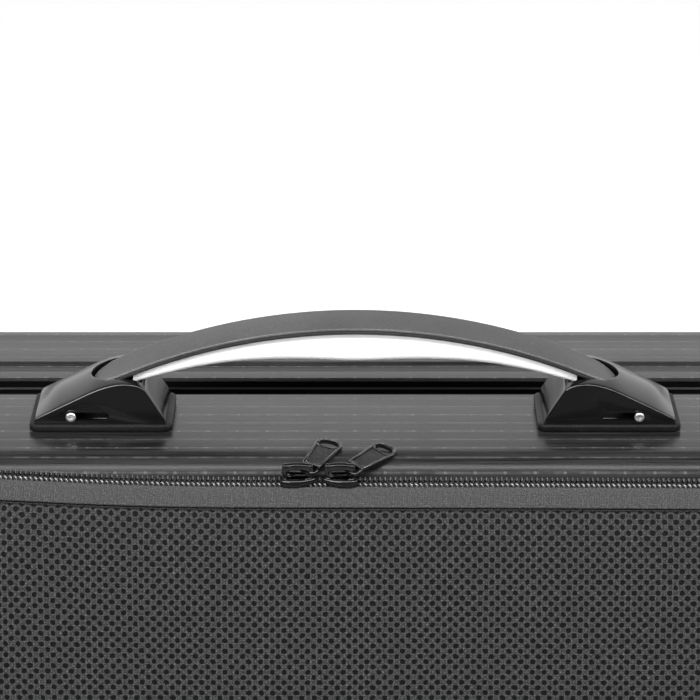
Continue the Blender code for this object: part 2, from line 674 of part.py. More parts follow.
def bracket(name, side):
    """A moulded housing: sloped top, mouth for the strap, a slot in each wall, open underneath."""
    half = HOUSING_DEPTH / 2
    base = Z_TOP + HOUSING_BASE
    outline = [(side * (HOUSING_OUTER - along * HOUSING_LENGTH), base + up * HOUSING_RISE)
               for along, up in HOUSING_OUTLINE_SHARES]
    item = add(name, prism(outline, "Y", Y_HANDLE - half, Y_HANDLE + half), "bracket_black")
    soften(item, HOUSING_SOFT_EDGE)

    start = HOUSING_SOLID_END / HOUSING_LENGTH
    end = (HOUSING_OUTER - MOUTH_INNER_DISTANCE) / HOUSING_LENGTH
    turns = [start] + [along for along, _ in HOUSING_OUTLINE_SHARES if start < along < end] + [end]
    roof = [(side * (HOUSING_OUTER - along * HOUSING_LENGTH), base + housing_rise(along) - HOUSING_TOP_WALL)
            for along in turns]
    hollow = [(roof[0][0], base - OVERRUN)] + roof + [(roof[-1][0], base - OVERRUN)]
    inner = half - HOUSING_WALL
    combine(item, prism(hollow, "Y", Y_HANDLE - inner, Y_HANDLE + inner))

    middle = (MOUTH_OUTER_DISTANCE - MOUTH_CORNER, 0)
    round_end = arc(middle, MOUTH_CORNER, -math.pi / 2, math.pi / 2, ROUND_SIDES // 2)
    mouth = [(MOUTH_INNER_DISTANCE, -MOUTH_CORNER)] + round_end + [(MOUTH_INNER_DISTANCE, MOUTH_CORNER)]
    combine(item, prism([(side * distance, Y_HANDLE + y) for distance, y in mouth], "Z",
                        base + HOUSING_TOP_WALL, base + HOUSING_RISE + OVERRUN))

    slot_radius = PIN_RADIUS + PIN_CLEARANCE
    ends = [(side * PIN_DISTANCE, Z_PIN), (side * (PIN_DISTANCE - PIN_TRAVEL), Z_PIN)]
    left, right = sorted(ends)
    slot = (arc(right, slot_radius, -math.pi / 2, math.pi / 2, SMALL_SIDES // 2)
            + arc(left, slot_radius, math.pi / 2, math.pi * 3 / 2, SMALL_SIDES // 2))
    combine(item, prism(slot, "Y", Y_HANDLE - half - OVERRUN, Y_HANDLE + half + OVERRUN))

    for place in stud_places(side):
        pilot = circle(place, STUD_RADIUS + STUD_CLEARANCE, SMALL_SIDES)
        combine(item, prism(pilot, "Z", base - OVERRUN, base + STUD_REACH + GAP))
    return smooth(item)


def stud_places(*sides):
    """Where a bracket's studs pass the shell wall: under the solid ends of the housing."""
    return [(side * (BRACKET_DISTANCE + sign * STUD_SPREAD), Y_HANDLE)
            for side in sides or SIDES.values() for sign in (-1, 1)]


def backing_plate(name, side):
    """A strip inside the shell with two studs, which pass the wall and the gasket into the bracket."""
    half = STUD_SPREAD + STUD_MARGIN
    middle = side * BRACKET_DISTANCE
    top = Z_TOP - WALL - GAP
    item = add(name, block((middle - half, Y_HANDLE - BACKING_WIDTH / 2, top - BACKING_THICKNESS),
                           (middle + half, Y_HANDLE + BACKING_WIDTH / 2, top)), "steel")
    soften(item, LEVER_SOFT_EDGE)
    for place in stud_places(side):
        combine(item, prism(circle(place, STUD_RADIUS, SMALL_SIDES), "Z", top - BACKING_THICKNESS / 2,
                            Z_TOP + HOUSING_BASE + STUD_REACH), "UNION")
    return smooth(item)


def make_handle():
    """Gaskets, brackets with their backing plates, slide pins, and the two halves of strap and bar."""
    for word, side in SIDES.items():
        centre = (side * BRACKET_DISTANCE, Y_HANDLE)
        outline = rounded_outline(GASKET_LENGTH / 2, GASKET_DEPTH / 2, GASKET_CORNER, GASKET_STEPS, centre)
        gasket = add("gasket_" + word, prism(outline, "Z", Z_TOP + GAP, Z_TOP + GASKET_HEIGHT),
                     "gasket_rubber")
        for place in stud_places(side):
            hole = circle(place, STUD_RADIUS + STUD_CLEARANCE, SMALL_SIDES)
            combine(gasket, prism(hole, "Z", Z_TOP - OVERRUN, Z_TOP + GASKET_HEIGHT + OVERRUN))
        smooth(gasket)
        bracket("bracket_" + word, side)
        slide_pin("slide_pin_" + word, side)
        grip("grip_" + word, side)
        bar("bar_" + word, side)
        backing_plate("backing_plate_" + word, side)


def recess_outline():
    """The violin's outline, wide at the tail, drawn in at the waist, with the neck's channel."""
    upper = [(VIOLIN_TAIL + along * VIOLIN_BODY_LENGTH, across * VIOLIN_HALF_WIDTH)
             for along, across in RECESS_OUTLINE_SHARES]
    upper += [(NECK_START + NECK_BLEND, NECK_HALF_WIDTH), (NECK_END - NECK_BLEND, NECK_HALF_WIDTH),
              (NECK_END, NECK_HALF_WIDTH - NECK_BLEND)]
    return [(x, Z_MIDDLE + z) for x, z in upper] + [(x, Z_MIDDLE - z) for x, z in reversed(upper)]


def pad(name, start, size):
    """A soft block on the floor of the recess."""
    low = (VIOLIN_TAIL + start, Y_RECESS + GAP, Z_MIDDLE - size[1] / 2)
    high = (VIOLIN_TAIL + start + size[0], Y_RECESS + GAP + PAD_THICKNESS, Z_MIDDLE + size[1] / 2)
    return smooth(soften(add(name, block(low, high), "foam_velvet"), PAD_SOFT_EDGE))


def surround(name, left_out_from, left_out_to):
    """One part of the foam round the violin's recess, without the stretch that is the other's."""
    low = Y_RECESS + GAP
    item = add(name, loft([case_ring(LINER_INSET, low), case_ring(LINER_INSET, Y_LINER)]), "foam_velvet")
    combine(item, prism(recess_outline(), "Y", low - OVERRUN, Y_LINER + OVERRUN))
    combine(item, block((BOX_START, low - OVERRUN, Z_BOX), (BOX_END, Y_LINER + OVERRUN, Z_BOX + BOX_HEIGHT)))
    combine(item, block((BOX_START - BOX_LEDGE, Y_LINER - FLAP_THICKNESS - GAP, Z_BOX - BOX_LEDGE),
                        (BOX_END + BOX_LEDGE, Y_LINER + OVERRUN, Z_BOX + BOX_HEIGHT + BOX_LEDGE)))
    combine(item, block((left_out_from, low - OVERRUN, Z_BOTTOM), (left_out_to, Y_LINER + OVERRUN, Z_TOP)))
    return smooth(item)


def make_liner():
    """The foam liner in three parts: a floor, and the surrounds of the violin's body and of its neck."""
    floor = Y_FACE + WALL + GAP
    rings = [case_ring(LINER_FOOT_INSET, floor), case_ring(LINER_INSET, floor + LINER_CHAMFER),
             case_ring(LINER_INSET, Y_RECESS)]
    smooth(add("liner_floor", loft(rings), "foam_velvet"))
    split = NECK_START + NECK_BLEND / 2
    surround("liner_body", split - GAP / 2, CASE_END)
    surround("liner_neck", -CASE_END, split + GAP / 2)

    pad("tail_pad", TAIL_PAD_START, TAIL_PAD_SIZE)
    pad("shoulder_pad", SHOULDER_PAD_START, SHOULDER_PAD_SIZE)
    half = NECK_HALF_WIDTH - GAP
    cradle_top = Y_RECESS + GAP + CRADLE_RISE
    cradle_end = CRADLE_START + CRADLE_LENGTH
    cradle = add("neck_cradle", block((CRADLE_START, Y_RECESS + GAP, Z_MIDDLE - half),
                                      (cradle_end, cradle_top, Z_MIDDLE + half)), "foam_velvet")
    notch = circle((cradle_top, Z_MIDDLE), CRADLE_NOTCH_RADIUS)
    smooth(combine(cradle, prism(notch, "X", CRADLE_START - OVERRUN, cradle_end + OVERRUN)))

    strap_start = (CRADLE_START + cradle_end - STRAP_WIDTH) / 2
    band = block(
        (strap_start, Y_LINER + GAP, Z_MIDDLE - STRAP_REACH),
        (strap_start + STRAP_WIDTH, Y_LINER + GAP + STRAP_THICKNESS, Z_MIDDLE + STRAP_REACH))
    smooth(soften(add("neck_strap", band, "plain_weave"), STRAP_THICKNESS / 4))
    accessory_flap()


def accessory_flap():
    """The box's lid: hinged along its upper edge, with a pull tab at its lower edge."""
    left = BOX_START - BOX_LEDGE + FLAP_CLEARANCE
    right = BOX_END + BOX_LEDGE - FLAP_CLEARANCE
    low = Z_BOX - BOX_LEDGE + FLAP_CLEARANCE
    plate = block((left, Y_LINER - FLAP_THICKNESS, low), (right, Y_LINER, Z_FLAP_HINGE))
    flap = add("accessory_lid", plate, "foam_velvet")
    middle = (left + right) / 2
    hold = low + FLAP_THICKNESS / 4
    inner = Y_LINER + GAP
    outer = inner + FLAP_TAB_THICKNESS
    tab = ((Y_LINER - FLAP_THICKNESS / 2, hold), (Y_LINER - FLAP_THICKNESS / 2, low + FLAP_THICKNESS),
           (outer, low + FLAP_THICKNESS), (outer, low - FLAP_TAB_REACH),
           (inner, low - FLAP_TAB_REACH), (inner, hold))
    combine(flap, prism(tab, "X", middle - FLAP_TAB_WIDTH / 2, middle + FLAP_TAB_WIDTH / 2), "UNION")
    return smooth(recentre(flap, (middle, Y_LINER, Z_FLAP_HINGE)))


def make_lid_inside():
    """The lid's padded liner, two turning bow clips, and the pocket for the bows' tips."""
    rings = [case_ring(LID_LINER_FOOT_INSET, Y_BACK - WALL - GAP), case_ring(LID_LINER_INSET, Y_LID_FLOOR)]
    smooth(add("lid_liner", loft(rings), "foam_velvet"))

    foot = Y_LID_FLOOR - GAP
    for word, sign in (("upper", 1), ("lower", -1)):
        height = Z_MIDDLE + sign * CLIP_SPREAD
        centre = (CLIP_PLACE, height)
        stem = prism(circle(centre, CLIP_STEM_RADIUS), "Y", foot - CLIP_STEM_LENGTH, foot)
        clip = add("bow_clip_" + word, stem, "rim_black")
        half = CLIP_WIDTH / 2
        tongue = (arc(centre, half, 0, math.pi, SMALL_SIDES // 2)
                  + arc((CLIP_PLACE, height - CLIP_LENGTH), half, math.pi, 2 * math.pi, SMALL_SIDES // 2))
        seat = foot - CLIP_STEM_LENGTH
        combine(clip, prism(tongue, "Y", seat - CLIP_THICKNESS, seat + GAP), "UNION")
        smooth(recentre(clip, (CLIP_PLACE, foot, height)))

    start = TIP_POCKET_END - TIP_POCKET_LENGTH
    half = TIP_POCKET_HEIGHT / 2
    wall = TIP_POCKET_WALL
    pocket = add("bow_tip_pocket", block((start, foot - TIP_POCKET_DEPTH, Z_MIDDLE - half),
                                         (TIP_POCKET_END, foot, Z_MIDDLE + half)), "foam_velvet")
    soften(pocket, wall)
    combine(pocket, block(
        (start - OVERRUN, foot - TIP_POCKET_DEPTH + wall, Z_MIDDLE - half + wall),
        (TIP_POCKET_END - wall, foot - wall, Z_MIDDLE + half - wall)))
    smooth(pocket)


def foot(name, place, face, radius):
    """A rubber foot that wraps a shell's round edge and stands on the floor."""
    inward = 1 if face < 0 else -1
    centre = (face + inward * radius, Z_BOTTOM + radius)
    reach = radius + GAP
    turns = [FOOT_WRAP * step / FOOT_WRAP_STEPS for step in range(FOOT_WRAP_STEPS + 1)]
    seat = [(centre[0] - inward * reach * math.sin(turn), centre[1] - reach * math.cos(turn))
            for turn in turns]
    tip = seat[-1][0] - inward * FOOT_LIP
    inner = centre[0] + inward * FOOT_INNER
    outline = [(inner, 0), (inner, seat[0][1])] + seat + [(tip, seat[-1][1]), (tip, 0)]
    item = add(name, prism(outline, "X", place - FOOT_LENGTH / 2, place + FOOT_LENGTH / 2), "gasket_rubber")
    return smooth(soften(item, FOOT_SOFT_EDGE))


def hinge_leaf(name, place, toward, top, own):
    """A leaf with its share of the knuckles, bored for the pin."""
    low = top - LEAF_THICKNESS
    start = math.asin(min(1, (top - Z_HINGE) / KNUCKLE_RADIUS))
    end = 2 * math.pi + math.asin((low - Z_HINGE) / KNUCKLE_RADIUS)
    turned = arc((0, 0), KNUCKLE_RADIUS, start, end, ROUND_SIDES)
    barrel = [(Y_SEAM + toward * a, Z_HINGE + b) for a, b in turned]
    inner = KNUCKLE_RADIUS + KNUCKLE_GAP
    outer = Y_SEAM + toward * (inner + LEAF_REACH)
    first = place - HINGE_LENGTH / 2
    plate = prism(barrel + [(outer, low), (outer, top)], "X", first, first + HINGE_LENGTH)
    item = add(name, plate, "steel")
    pitch = HINGE_LENGTH / HINGE_KNUCKLES
    for index in range(HINGE_KNUCKLES):
        if index % 2 == own:
            continue
        left = first + index * pitch - (KNUCKLE_GAP / 2 if index else OVERRUN)
        right = first + (index + 1) * pitch + (KNUCKLE_GAP / 2 if index < HINGE_KNUCKLES - 1 else OVERRUN)
        combine(item, block((left, Y_SEAM - inner, Z_HINGE - inner),
                            (right, Y_SEAM + inner, Z_HINGE + inner)))
    bore = circle((Y_SEAM, Z_HINGE), HINGE_PIN_RADIUS + HINGE_RUNNING)
    combine(item, prism(bore, "X", first - OVERRUN, first + HINGE_LENGTH + OVERRUN))
    return smooth(item)


def make_underside():
    """The four feet, and the two hinges that join the shells beneath the seam."""
    for word, side in SIDES.items():
        foot("foot_back_" + word, side * FOOT_PLACE, Y_FACE, BACK_EDGE_RADIUS)
        foot("foot_lid_" + word, side * FOOT_PLACE, Y_BACK, LID_EDGE_RADIUS)

        place = side * HINGE_PLACE
        top = Z_BOTTOM - GAP
        hinge_leaf("hinge_leaf_back_" + word, place, -1, top, 0)
        leaf = hinge_leaf("hinge_leaf_lid_" + word, place, 1, top - BEAD_RISE, 1)
        recentre(leaf, (place, Y_SEAM, Z_HINGE))
        pin = prism(circle((Y_SEAM, Z_HINGE), HINGE_PIN_RADIUS), "X",
                    place - HINGE_LENGTH / 2, place + HINGE_LENGTH / 2)
        smooth(add("hinge_pin_" + word, pin, "steel"))


def latch_base(name, place):
    """A plate on the back shell with two ears for the lever's trunnions."""
    length, depth, thickness = LATCH_BASE_SIZE
    front = Y_RIM - LATCH_SETBACK
    low = Z_TOP + GAP
    plate = block((place - length / 2, front - depth, low), (place + length / 2, front, low + thickness))
    item = soften(add(name, plate, "silver"), LATCH_SOFT_EDGE)
    root = low + thickness / 2
    ear = [(Y_LEVER - EAR_LENGTH / 2, root), (Y_LEVER + EAR_LENGTH / 2, root)]
    ear += arc((Y_LEVER, Z_LEVER), EAR_RADIUS, 0, math.pi, SMALL_SIDES // 2)
    hole = circle((Y_LEVER, Z_LEVER), LATCH_PIN_RADIUS + PIN_CLEARANCE, SMALL_SIDES)
    for sign in (-1, 1):
        inner = place + sign * CHEEK_OUTSIDE
        combine(item, prism(ear, "X", inner, inner + sign * EAR_THICKNESS), "UNION")
    combine(item, prism(hole, "X", place - length / 2, place + length / 2))
    return smooth(item)


def latch_lever(name, place):
    """The lever, hollow underneath, with a cross pin for its ears and one for the bail."""
    front = Y_RIM - LEVER_FRONT_SETBACK
    top = Z_TOP + LEVER_TOP
    outline = arc((Y_LEVER, Z_LEVER), LEVER_KNUCKLE_RADIUS, math.pi / 2, math.pi * 3 / 2, SMALL_SIDES // 2)
    outline += [(front, Z_TOP + LEVER_UNDERSIDE), (front, top - LEVER_NOSE), (front - LEVER_NOSE, top)]
    half = LEVER_WIDTH / 2
    item = add(name, prism(outline, "X", place - half, place + half), "silver")
    soften(item, LEVER_SOFT_EDGE)
    inner = half - CHEEK_THICKNESS
    combine(item, block((place - inner, Y_LEVER + LEVER_KNUCKLE_RADIUS, Z_TOP),
                        (place + inner, front - CHEEK_THICKNESS, top - LEVER_THICKNESS)))
    reach = CHEEK_OUTSIDE + EAR_THICKNESS + GAP
    for centre in ((Y_LEVER, Z_LEVER), (Y_BAIL, Z_BAIL)):
        pin = prism(circle(centre, LATCH_PIN_RADIUS, SMALL_SIDES), "X", place - reach, place + reach)
        combine(item, pin, "UNION")
    return smooth(recentre(item, (place, Y_LEVER, Z_LEVER)))


def latch_bail(name, place):
    """The bail: two arms with eyes on the lever's pin, and the crossbar over the keeper."""
    half = BAIL_THICKNESS / 2
    turn = math.asin(half / BAIL_EYE_RADIUS)
    end = Y_LID + BAIL_HOOK_REACH
    outline = arc((Y_BAIL, Z_BAIL), BAIL_EYE_RADIUS, turn, 2 * math.pi - turn, SMALL_SIDES)
    outline += [(end, Z_BAIL - half), (end, Z_BAIL + half)]
    outer = CHEEK_OUTSIDE + BAIL_ARM_WIDTH
    item = add(name, prism(outline, "X", place - outer, place + outer), "silver")
    combine(item, block((place - CHEEK_OUTSIDE, Y_BAIL - BAIL_EYE_RADIUS * 2, Z_BAIL - BAIL_EYE_RADIUS * 2),
                        (place + CHEEK_OUTSIDE, end - BAIL_BAR_WIDTH, Z_BAIL + BAIL_EYE_RADIUS * 2)))
    eye = circle((Y_BAIL, Z_BAIL), LATCH_PIN_RADIUS + PIN_CLEARANCE, SMALL_SIDES)
    combine(item, prism(eye, "X", place - outer - OVERRUN, place + outer + OVERRUN))
    return smooth(recentre(item, (place, Y_BAIL, Z_BAIL)))


def latch_keeper(name, place):
    """The keeper on the lid: a plate over the bead, with a foot in the groove behind it."""
    start = Y_LID + KEEPER_START
    heel = start + KEEPER_LENGTH - KEEPER_FOOT
    end = start + KEEPER_LENGTH
    seat = Z_TOP + BEAD_RISE + GAP
    top = seat + KEEPER_THICKNESS
    outline = [(start, seat), (heel, seat), (heel, Z_TOP + GAP),
               (end, Z_TOP + GAP), (end, top), (start, top)]
    half = KEEPER_WIDTH / 2
    item = add(name, prism(outline, "X", place - half, place + half), "silver")
    return smooth(soften(item, LEVER_SOFT_EDGE))


def make_latches():
    """The two latches on the handle side, and their keepers on the lid."""
    for word, side in SIDES.items():
        place = side * LATCH_PLACE
        latch_base("latch_base_" + word, place)
        latch_lever("latch_lever_" + word, place)
        latch_bail("latch_bail_" + word, place)
        latch_keeper("latch_keeper_" + word, place)


def tube(path, radius, sides):
    """A round bar along a closed path in the plane across X."""
    rings = []
    for index, point in enumerate(path):
        before = (Vector(point) - Vector(path[index - 1])).normalized()
        after = (Vector(path[(index + 1) % len(path)]) - Vector(point)).normalized()
        along = (before + after).normalized()
        across = Vector((-along.y, along.x)) / before.dot(along)
        rings.append([Vector((a, point[0] + across.x * b, point[1] + across.y * b))
                      for a, b in circle((0, 0), radius, sides)])
    return loft(rings, closed=True)


def make_rings():
    """A plate with a bored lug on each end wall, and the D-ring that hangs in it."""
    thickness, depth, height = RING_PLATE_SIZE
    middle = (Y_FACE + Y_RIM) / 2
    for word, side in SIDES.items():
        near = side * (CASE_END + GAP)
        left, right = sorted((near, near + side * thickness))
        item = add("ring_plate_" + word, block(
            (left, middle - depth / 2, RING_PLACE_HEIGHT - height / 2),
            (right, middle + depth / 2, RING_PLACE_HEIGHT + height / 2)), "silver")
        soften(item, RING_SOFT_EDGE)
        centre = (side * RING_PIVOT, RING_PLACE_HEIGHT)
        half = RING_LUG_LENGTH / 2
        combine(item, prism(circle(centre, RING_LUG_RADIUS), "Y", middle - half, middle + half), "UNION")
        bore = circle(centre, RING_BAR_RADIUS + RING_CLEARANCE, SMALL_SIDES)
        combine(item, prism(bore, "Y", middle - half - OVERRUN, middle + half + OVERRUN))
        smooth(item)

        bend = RING_WIDTH / 2
        drop = bend - RING_DROP
        path = [(-bend, 0), (bend, 0)] + arc((0, drop), bend, 0, -math.pi, RING_ARC_STEPS)
        ring = add("d_ring_" + word, tube(path, RING_BAR_RADIUS, RING_SIDES), "silver")
        ring.location = (centre[0], middle, centre[1])
        smooth(ring)


def pocket_ring(inset, rise):
    """The case's outline at a height in front of the back shell's face."""
    return case_ring(inset, Y_FACE - rise)


def make_pocket():
    """The outer pocket: gusset open along the zip, band, and the mesh panel stretched over it."""
    back_inset, back_rise = GUSSET_BACK
    front_inset, front_rise = GUSSET_FRONT
    section = (GUSSET_BACK, GUSSET_FRONT, (front_inset + FABRIC, front_rise),
               (back_inset + FABRIC, back_rise + GAP))
    strip = loft([pocket_ring(*point) for point in section], closed=True)
    gusset = add("pocket_gusset", strip, "plain_weave")
    smooth(combine(gusset, block((-ZIP_HALF_LENGTH, Y_POCKET, Z_TOP - CORNER_RADIUS),
                                 (ZIP_HALF_LENGTH, Y_FACE + OVERRUN, Z_TOP))))

    start = (front_inset + GAP, front_rise + GAP)
    section = (start, BAND_MIDDLE, BAND_FRONT, *BAND_INSIDE, (start[0] + FABRIC, start[1]))
    band = loft([pocket_ring(*point) for point in section], closed=True)
    smooth(add("pocket_band", band, "plain_weave"))

    edge_inset = BAND_FRONT[0] + GAP
    edge_rise = BAND_FRONT[1] + GAP
    bulge = POCKET_DEPTH - edge_rise
    outside = [(edge_inset + PANEL_BULGE_WIDTH * inward, edge_rise + bulge * forward)
               for inward, forward in PANEL_SHARES]
    inside = [(inset, rise - FABRIC) for inset, rise in outside[1:]]
    profile = inside[::-1] + [(edge_inset + PANEL_HEM, edge_rise)] + outside
    smooth(add("pocket_panel", loft([pocket_ring(*point) for point in profile]), "mesh_fabric"))


def settle(item, turn, place):
    """Turn an object drawn at the origin about X, and put it at its place."""
    item.data.transform(Matrix.Rotation(turn, 4, "X"))
    item.location = place
    return item


def zip_point(height):
    """A point straight above the middle of the zip, in the tilted plane's own direction."""
    return Y_ZIP - height * math.sin(ZIP_TILT), Z_ZIP + height * math.cos(ZIP_TILT)


def zip_slider(name, place):
    """A slider that straddles the chain, with a small bridge for the pull tab."""
    inner = CHAIN_WIDTH / 2 + SLIDER_SIDE_CLEARANCE
    under = CHAIN_LIFT + CHAIN_HEIGHT + GAP
    top = under + SLIDER_WALL
    rings = []
    for along, width in SLIDER_SHARES:
        half = inner + SLIDER_SKIRT * width
        section = ((-half, SLIDER_BOTTOM), (-half, top - SLIDER_EDGE), (-half + SLIDER_EDGE, top),
                   (half - SLIDER_EDGE, top), (half, top - SLIDER_EDGE), (half, SLIDER_BOTTOM),
                   (inner, SLIDER_BOTTOM), (inner, under), (-inner, under), (-inner, SLIDER_BOTTOM))
        rings.append([Vector((along * SLIDER_LENGTH, a, b)) for a, b in section])
    item = add(name, loft(rings), "slider_black")
    post = [(-POST_RADIUS, under + SLIDER_WALL / 2), (POST_RADIUS, under + SLIDER_WALL / 2)]
    post += arc((0, BRIDGE_HEIGHT), POST_RADIUS, 0, math.pi, SMALL_SIDES // 2)
    for sign in (-1, 1):
        middle = sign * BRIDGE_SPAN / 2
        combine(item, prism(post, "X", middle - POST_THICKNESS / 2, middle + POST_THICKNESS / 2), "UNION")
    bridge = circle((0, BRIDGE_HEIGHT), BRIDGE_BAR_RADIUS, SMALL_SIDES)
    combine(item, prism(bridge, "X", -BRIDGE_SPAN / 2, BRIDGE_SPAN / 2), "UNION")
    return smooth(settle(item, ZIP_TILT, (place, Y_ZIP, Z_ZIP)))


def tab_tilt():
    """The slope at which a tab lies back from its bridge over the shell's round edge."""
    pivot = zip_point(BRIDGE_HEIGHT)
    away = Vector((Y_FACE + BACK_EDGE_RADIUS - pivot[0], Z_TOP - BACK_EDGE_RADIUS - pivot[1]))
    clear = BACK_EDGE_RADIUS + GAP + TAB_THICKNESS / 2
    return math.asin(clear / away.length) + math.atan2(away.y, away.x)


def pull_tab(name, place, lean):
    """A tab on the slider's bridge: eye, neck, and a plate with a recessed face and an oval hole."""
    half = TAB_THICKNESS / 2
    eye = prism(circle((0, 0), TAB_EYE_RADIUS), "X", -TAB_EYE_WIDTH / 2, TAB_EYE_WIDTH / 2)
    item = add(name, eye, "slider_black")
    neck = TAB_NECK_WIDTH / 2
    combine(item, block((-neck, 0, -half), (neck, TAB_TURN + neck, half)), "UNION")
    turned = Matrix.Translation((0, TAB_TURN, 0)) @ Matrix.Rotation(-lean, 4, "Z")

    wide = TAB_WIDTH / 2
    end = TAB_NECK_LENGTH + TAB_LENGTH
    start = TAB_NECK_LENGTH + wide - TAB_CORNER
    plate = rounded_outline(wide, TAB_LENGTH / 2, TAB_CORNER, SMALL_SIDES // 2, (0, end - TAB_LENGTH / 2))
    stem = [(-neck, 0), (neck, 0), (neck, start), (-neck, start)]
    for outline, thick in ((stem, half - TAB_STEP), (plate, half)):
        piece = prism(outline, "Z", -thick, thick)
        piece.transform(turned)
        combine(item, piece, "UNION")

    hole_middle = end - TAB_HOLE_MARGIN - TAB_HOLE_WIDTH / 2
    hole = rounded_outline(TAB_HOLE_LENGTH / 2, TAB_HOLE_WIDTH / 2, TAB_HOLE_WIDTH * TAB_HOLE_ROUND_SHARE,
                           SMALL_SIDES // 4, (0, hole_middle))
    panel_low = TAB_NECK_LENGTH + TAB_PANEL_MARGIN
    panel_high = hole_middle - TAB_HOLE_WIDTH / 2 - TAB_PANEL_MARGIN
    panel = rounded_outline(wide - TAB_PANEL_MARGIN, (panel_high - panel_low) / 2,
                            TAB_CORNER - TAB_PANEL_MARGIN, SMALL_SIDES // 4,
                            (0, (panel_high + panel_low) / 2))
    for outline, low in ((hole, -OVERRUN), (panel, half - TAB_PANEL_DEPTH)):
        piece = prism(outline, "Z", low, OVERRUN)
        piece.transform(turned)
        combine(item, piece)
    bore = circle((0, 0), BRIDGE_BAR_RADIUS + TAB_PLAY, SMALL_SIDES)
    combine(item, prism(bore, "X", -TAB_EYE_WIDTH, TAB_EYE_WIDTH))
    return smooth(settle(item, tab_tilt(), (place, *zip_point(BRIDGE_HEIGHT))))


def make_zip():
    """Tape and chain along the pocket's upper edge, and two sliders that meet head to head."""
    length = ZIP_HALF_LENGTH - GAP
    half = TAPE_WIDTH / 2
    tape = add("zip_tape", block((-length, -half, -TAPE_SINK - TAPE_THICKNESS), (length, half, -TAPE_SINK)),
               "zip_black")
    settle(tape, ZIP_TILT, (0, Y_ZIP, Z_ZIP))

    half = CHAIN_WIDTH / 2
    top = CHAIN_LIFT + CHAIN_HEIGHT
    outline = [(-half, CHAIN_LIFT), (half, CHAIN_LIFT), (half, top - CHAIN_EDGE), (half - CHAIN_EDGE, top),
               (-half + CHAIN_EDGE, top), (-half, top - CHAIN_EDGE)]
    settle(add("zip_chain", prism(outline, "X", -length, length), "zip_black"), ZIP_TILT, (0, Y_ZIP, Z_ZIP))

    for (word, side), lean in zip(SIDES.items(), TAB_LEANS):
        place = ZIP_MEET + side * SLIDER_SPACING / 2
        zip_slider("zip_slider_" + word, place)
        pull_tab("pull_tab_" + word, place, lean)


def main():
    """Build the case, one sub-assembly after another."""
    clear_scene()
    make_shells()
    make_rims()
    make_handle()
    make_liner()
    make_lid_inside()
    make_underside()
    make_latches()
    make_rings()
    make_pocket()
    make_zip()


main()
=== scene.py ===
"""The looks of an oblong violin case with a zipped outer pocket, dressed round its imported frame.

X runs along the case, +Y from the outer pocket through the seam to the lid, and +Z up to the handle.
All lengths are in metres.
"""
import logging
import math
from contextlib import contextmanager
from dataclasses import dataclass
from enum import Enum
from typing import Callable, Iterable, Iterator, Sequence

import bmesh
import bpy
import numpy as np
from mathutils import Matrix, Vector


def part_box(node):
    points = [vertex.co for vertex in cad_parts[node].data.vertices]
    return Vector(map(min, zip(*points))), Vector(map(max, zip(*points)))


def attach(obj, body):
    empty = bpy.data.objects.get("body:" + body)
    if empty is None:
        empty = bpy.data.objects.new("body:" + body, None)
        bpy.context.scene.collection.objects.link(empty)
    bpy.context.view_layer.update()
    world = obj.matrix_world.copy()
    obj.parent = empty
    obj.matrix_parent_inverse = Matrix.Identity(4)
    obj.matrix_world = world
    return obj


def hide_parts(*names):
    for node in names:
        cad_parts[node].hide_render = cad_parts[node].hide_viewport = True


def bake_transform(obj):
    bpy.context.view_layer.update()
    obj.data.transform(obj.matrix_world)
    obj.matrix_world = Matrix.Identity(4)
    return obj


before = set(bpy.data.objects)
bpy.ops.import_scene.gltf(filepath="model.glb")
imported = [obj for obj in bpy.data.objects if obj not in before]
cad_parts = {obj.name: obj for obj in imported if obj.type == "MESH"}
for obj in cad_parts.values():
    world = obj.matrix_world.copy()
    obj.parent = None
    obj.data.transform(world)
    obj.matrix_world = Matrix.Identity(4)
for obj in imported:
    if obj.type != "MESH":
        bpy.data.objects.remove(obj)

MM = 0.001
LOG = logging.getLogger("violin_case")
Socket = bpy.types.NodeSocket
Piece = bpy.types.Object
Pair = tuple[float, float]
Triple = tuple[float, float, float]
Section = Sequence[Pair]
# Points nearer to each other than this are one point.
WELD = 0.002 * MM
# Faces of padding and of cloth look smooth where they meet at up to these angles, in degrees.
ROUND, CLOTH = 180, 60
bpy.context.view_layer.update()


def grey(value: float) -> Triple:
    """A neutral colour."""
    return (value, value, value)


def paint(colour: object) -> object:
    """A colour as a socket takes it, from another socket, a triple or a brightness."""
    if isinstance(colour, float):
        colour = grey(colour)
    return (*colour, 1) if isinstance(colour, tuple) else colour


class Side(Enum):
    """The two ends of the handle side."""

    LEFT = -1
    RIGHT = 1

    @property
    def word(self) -> str:
        """The side's word in the names of pieces."""
        return self.name.lower()


# --- shader graphs


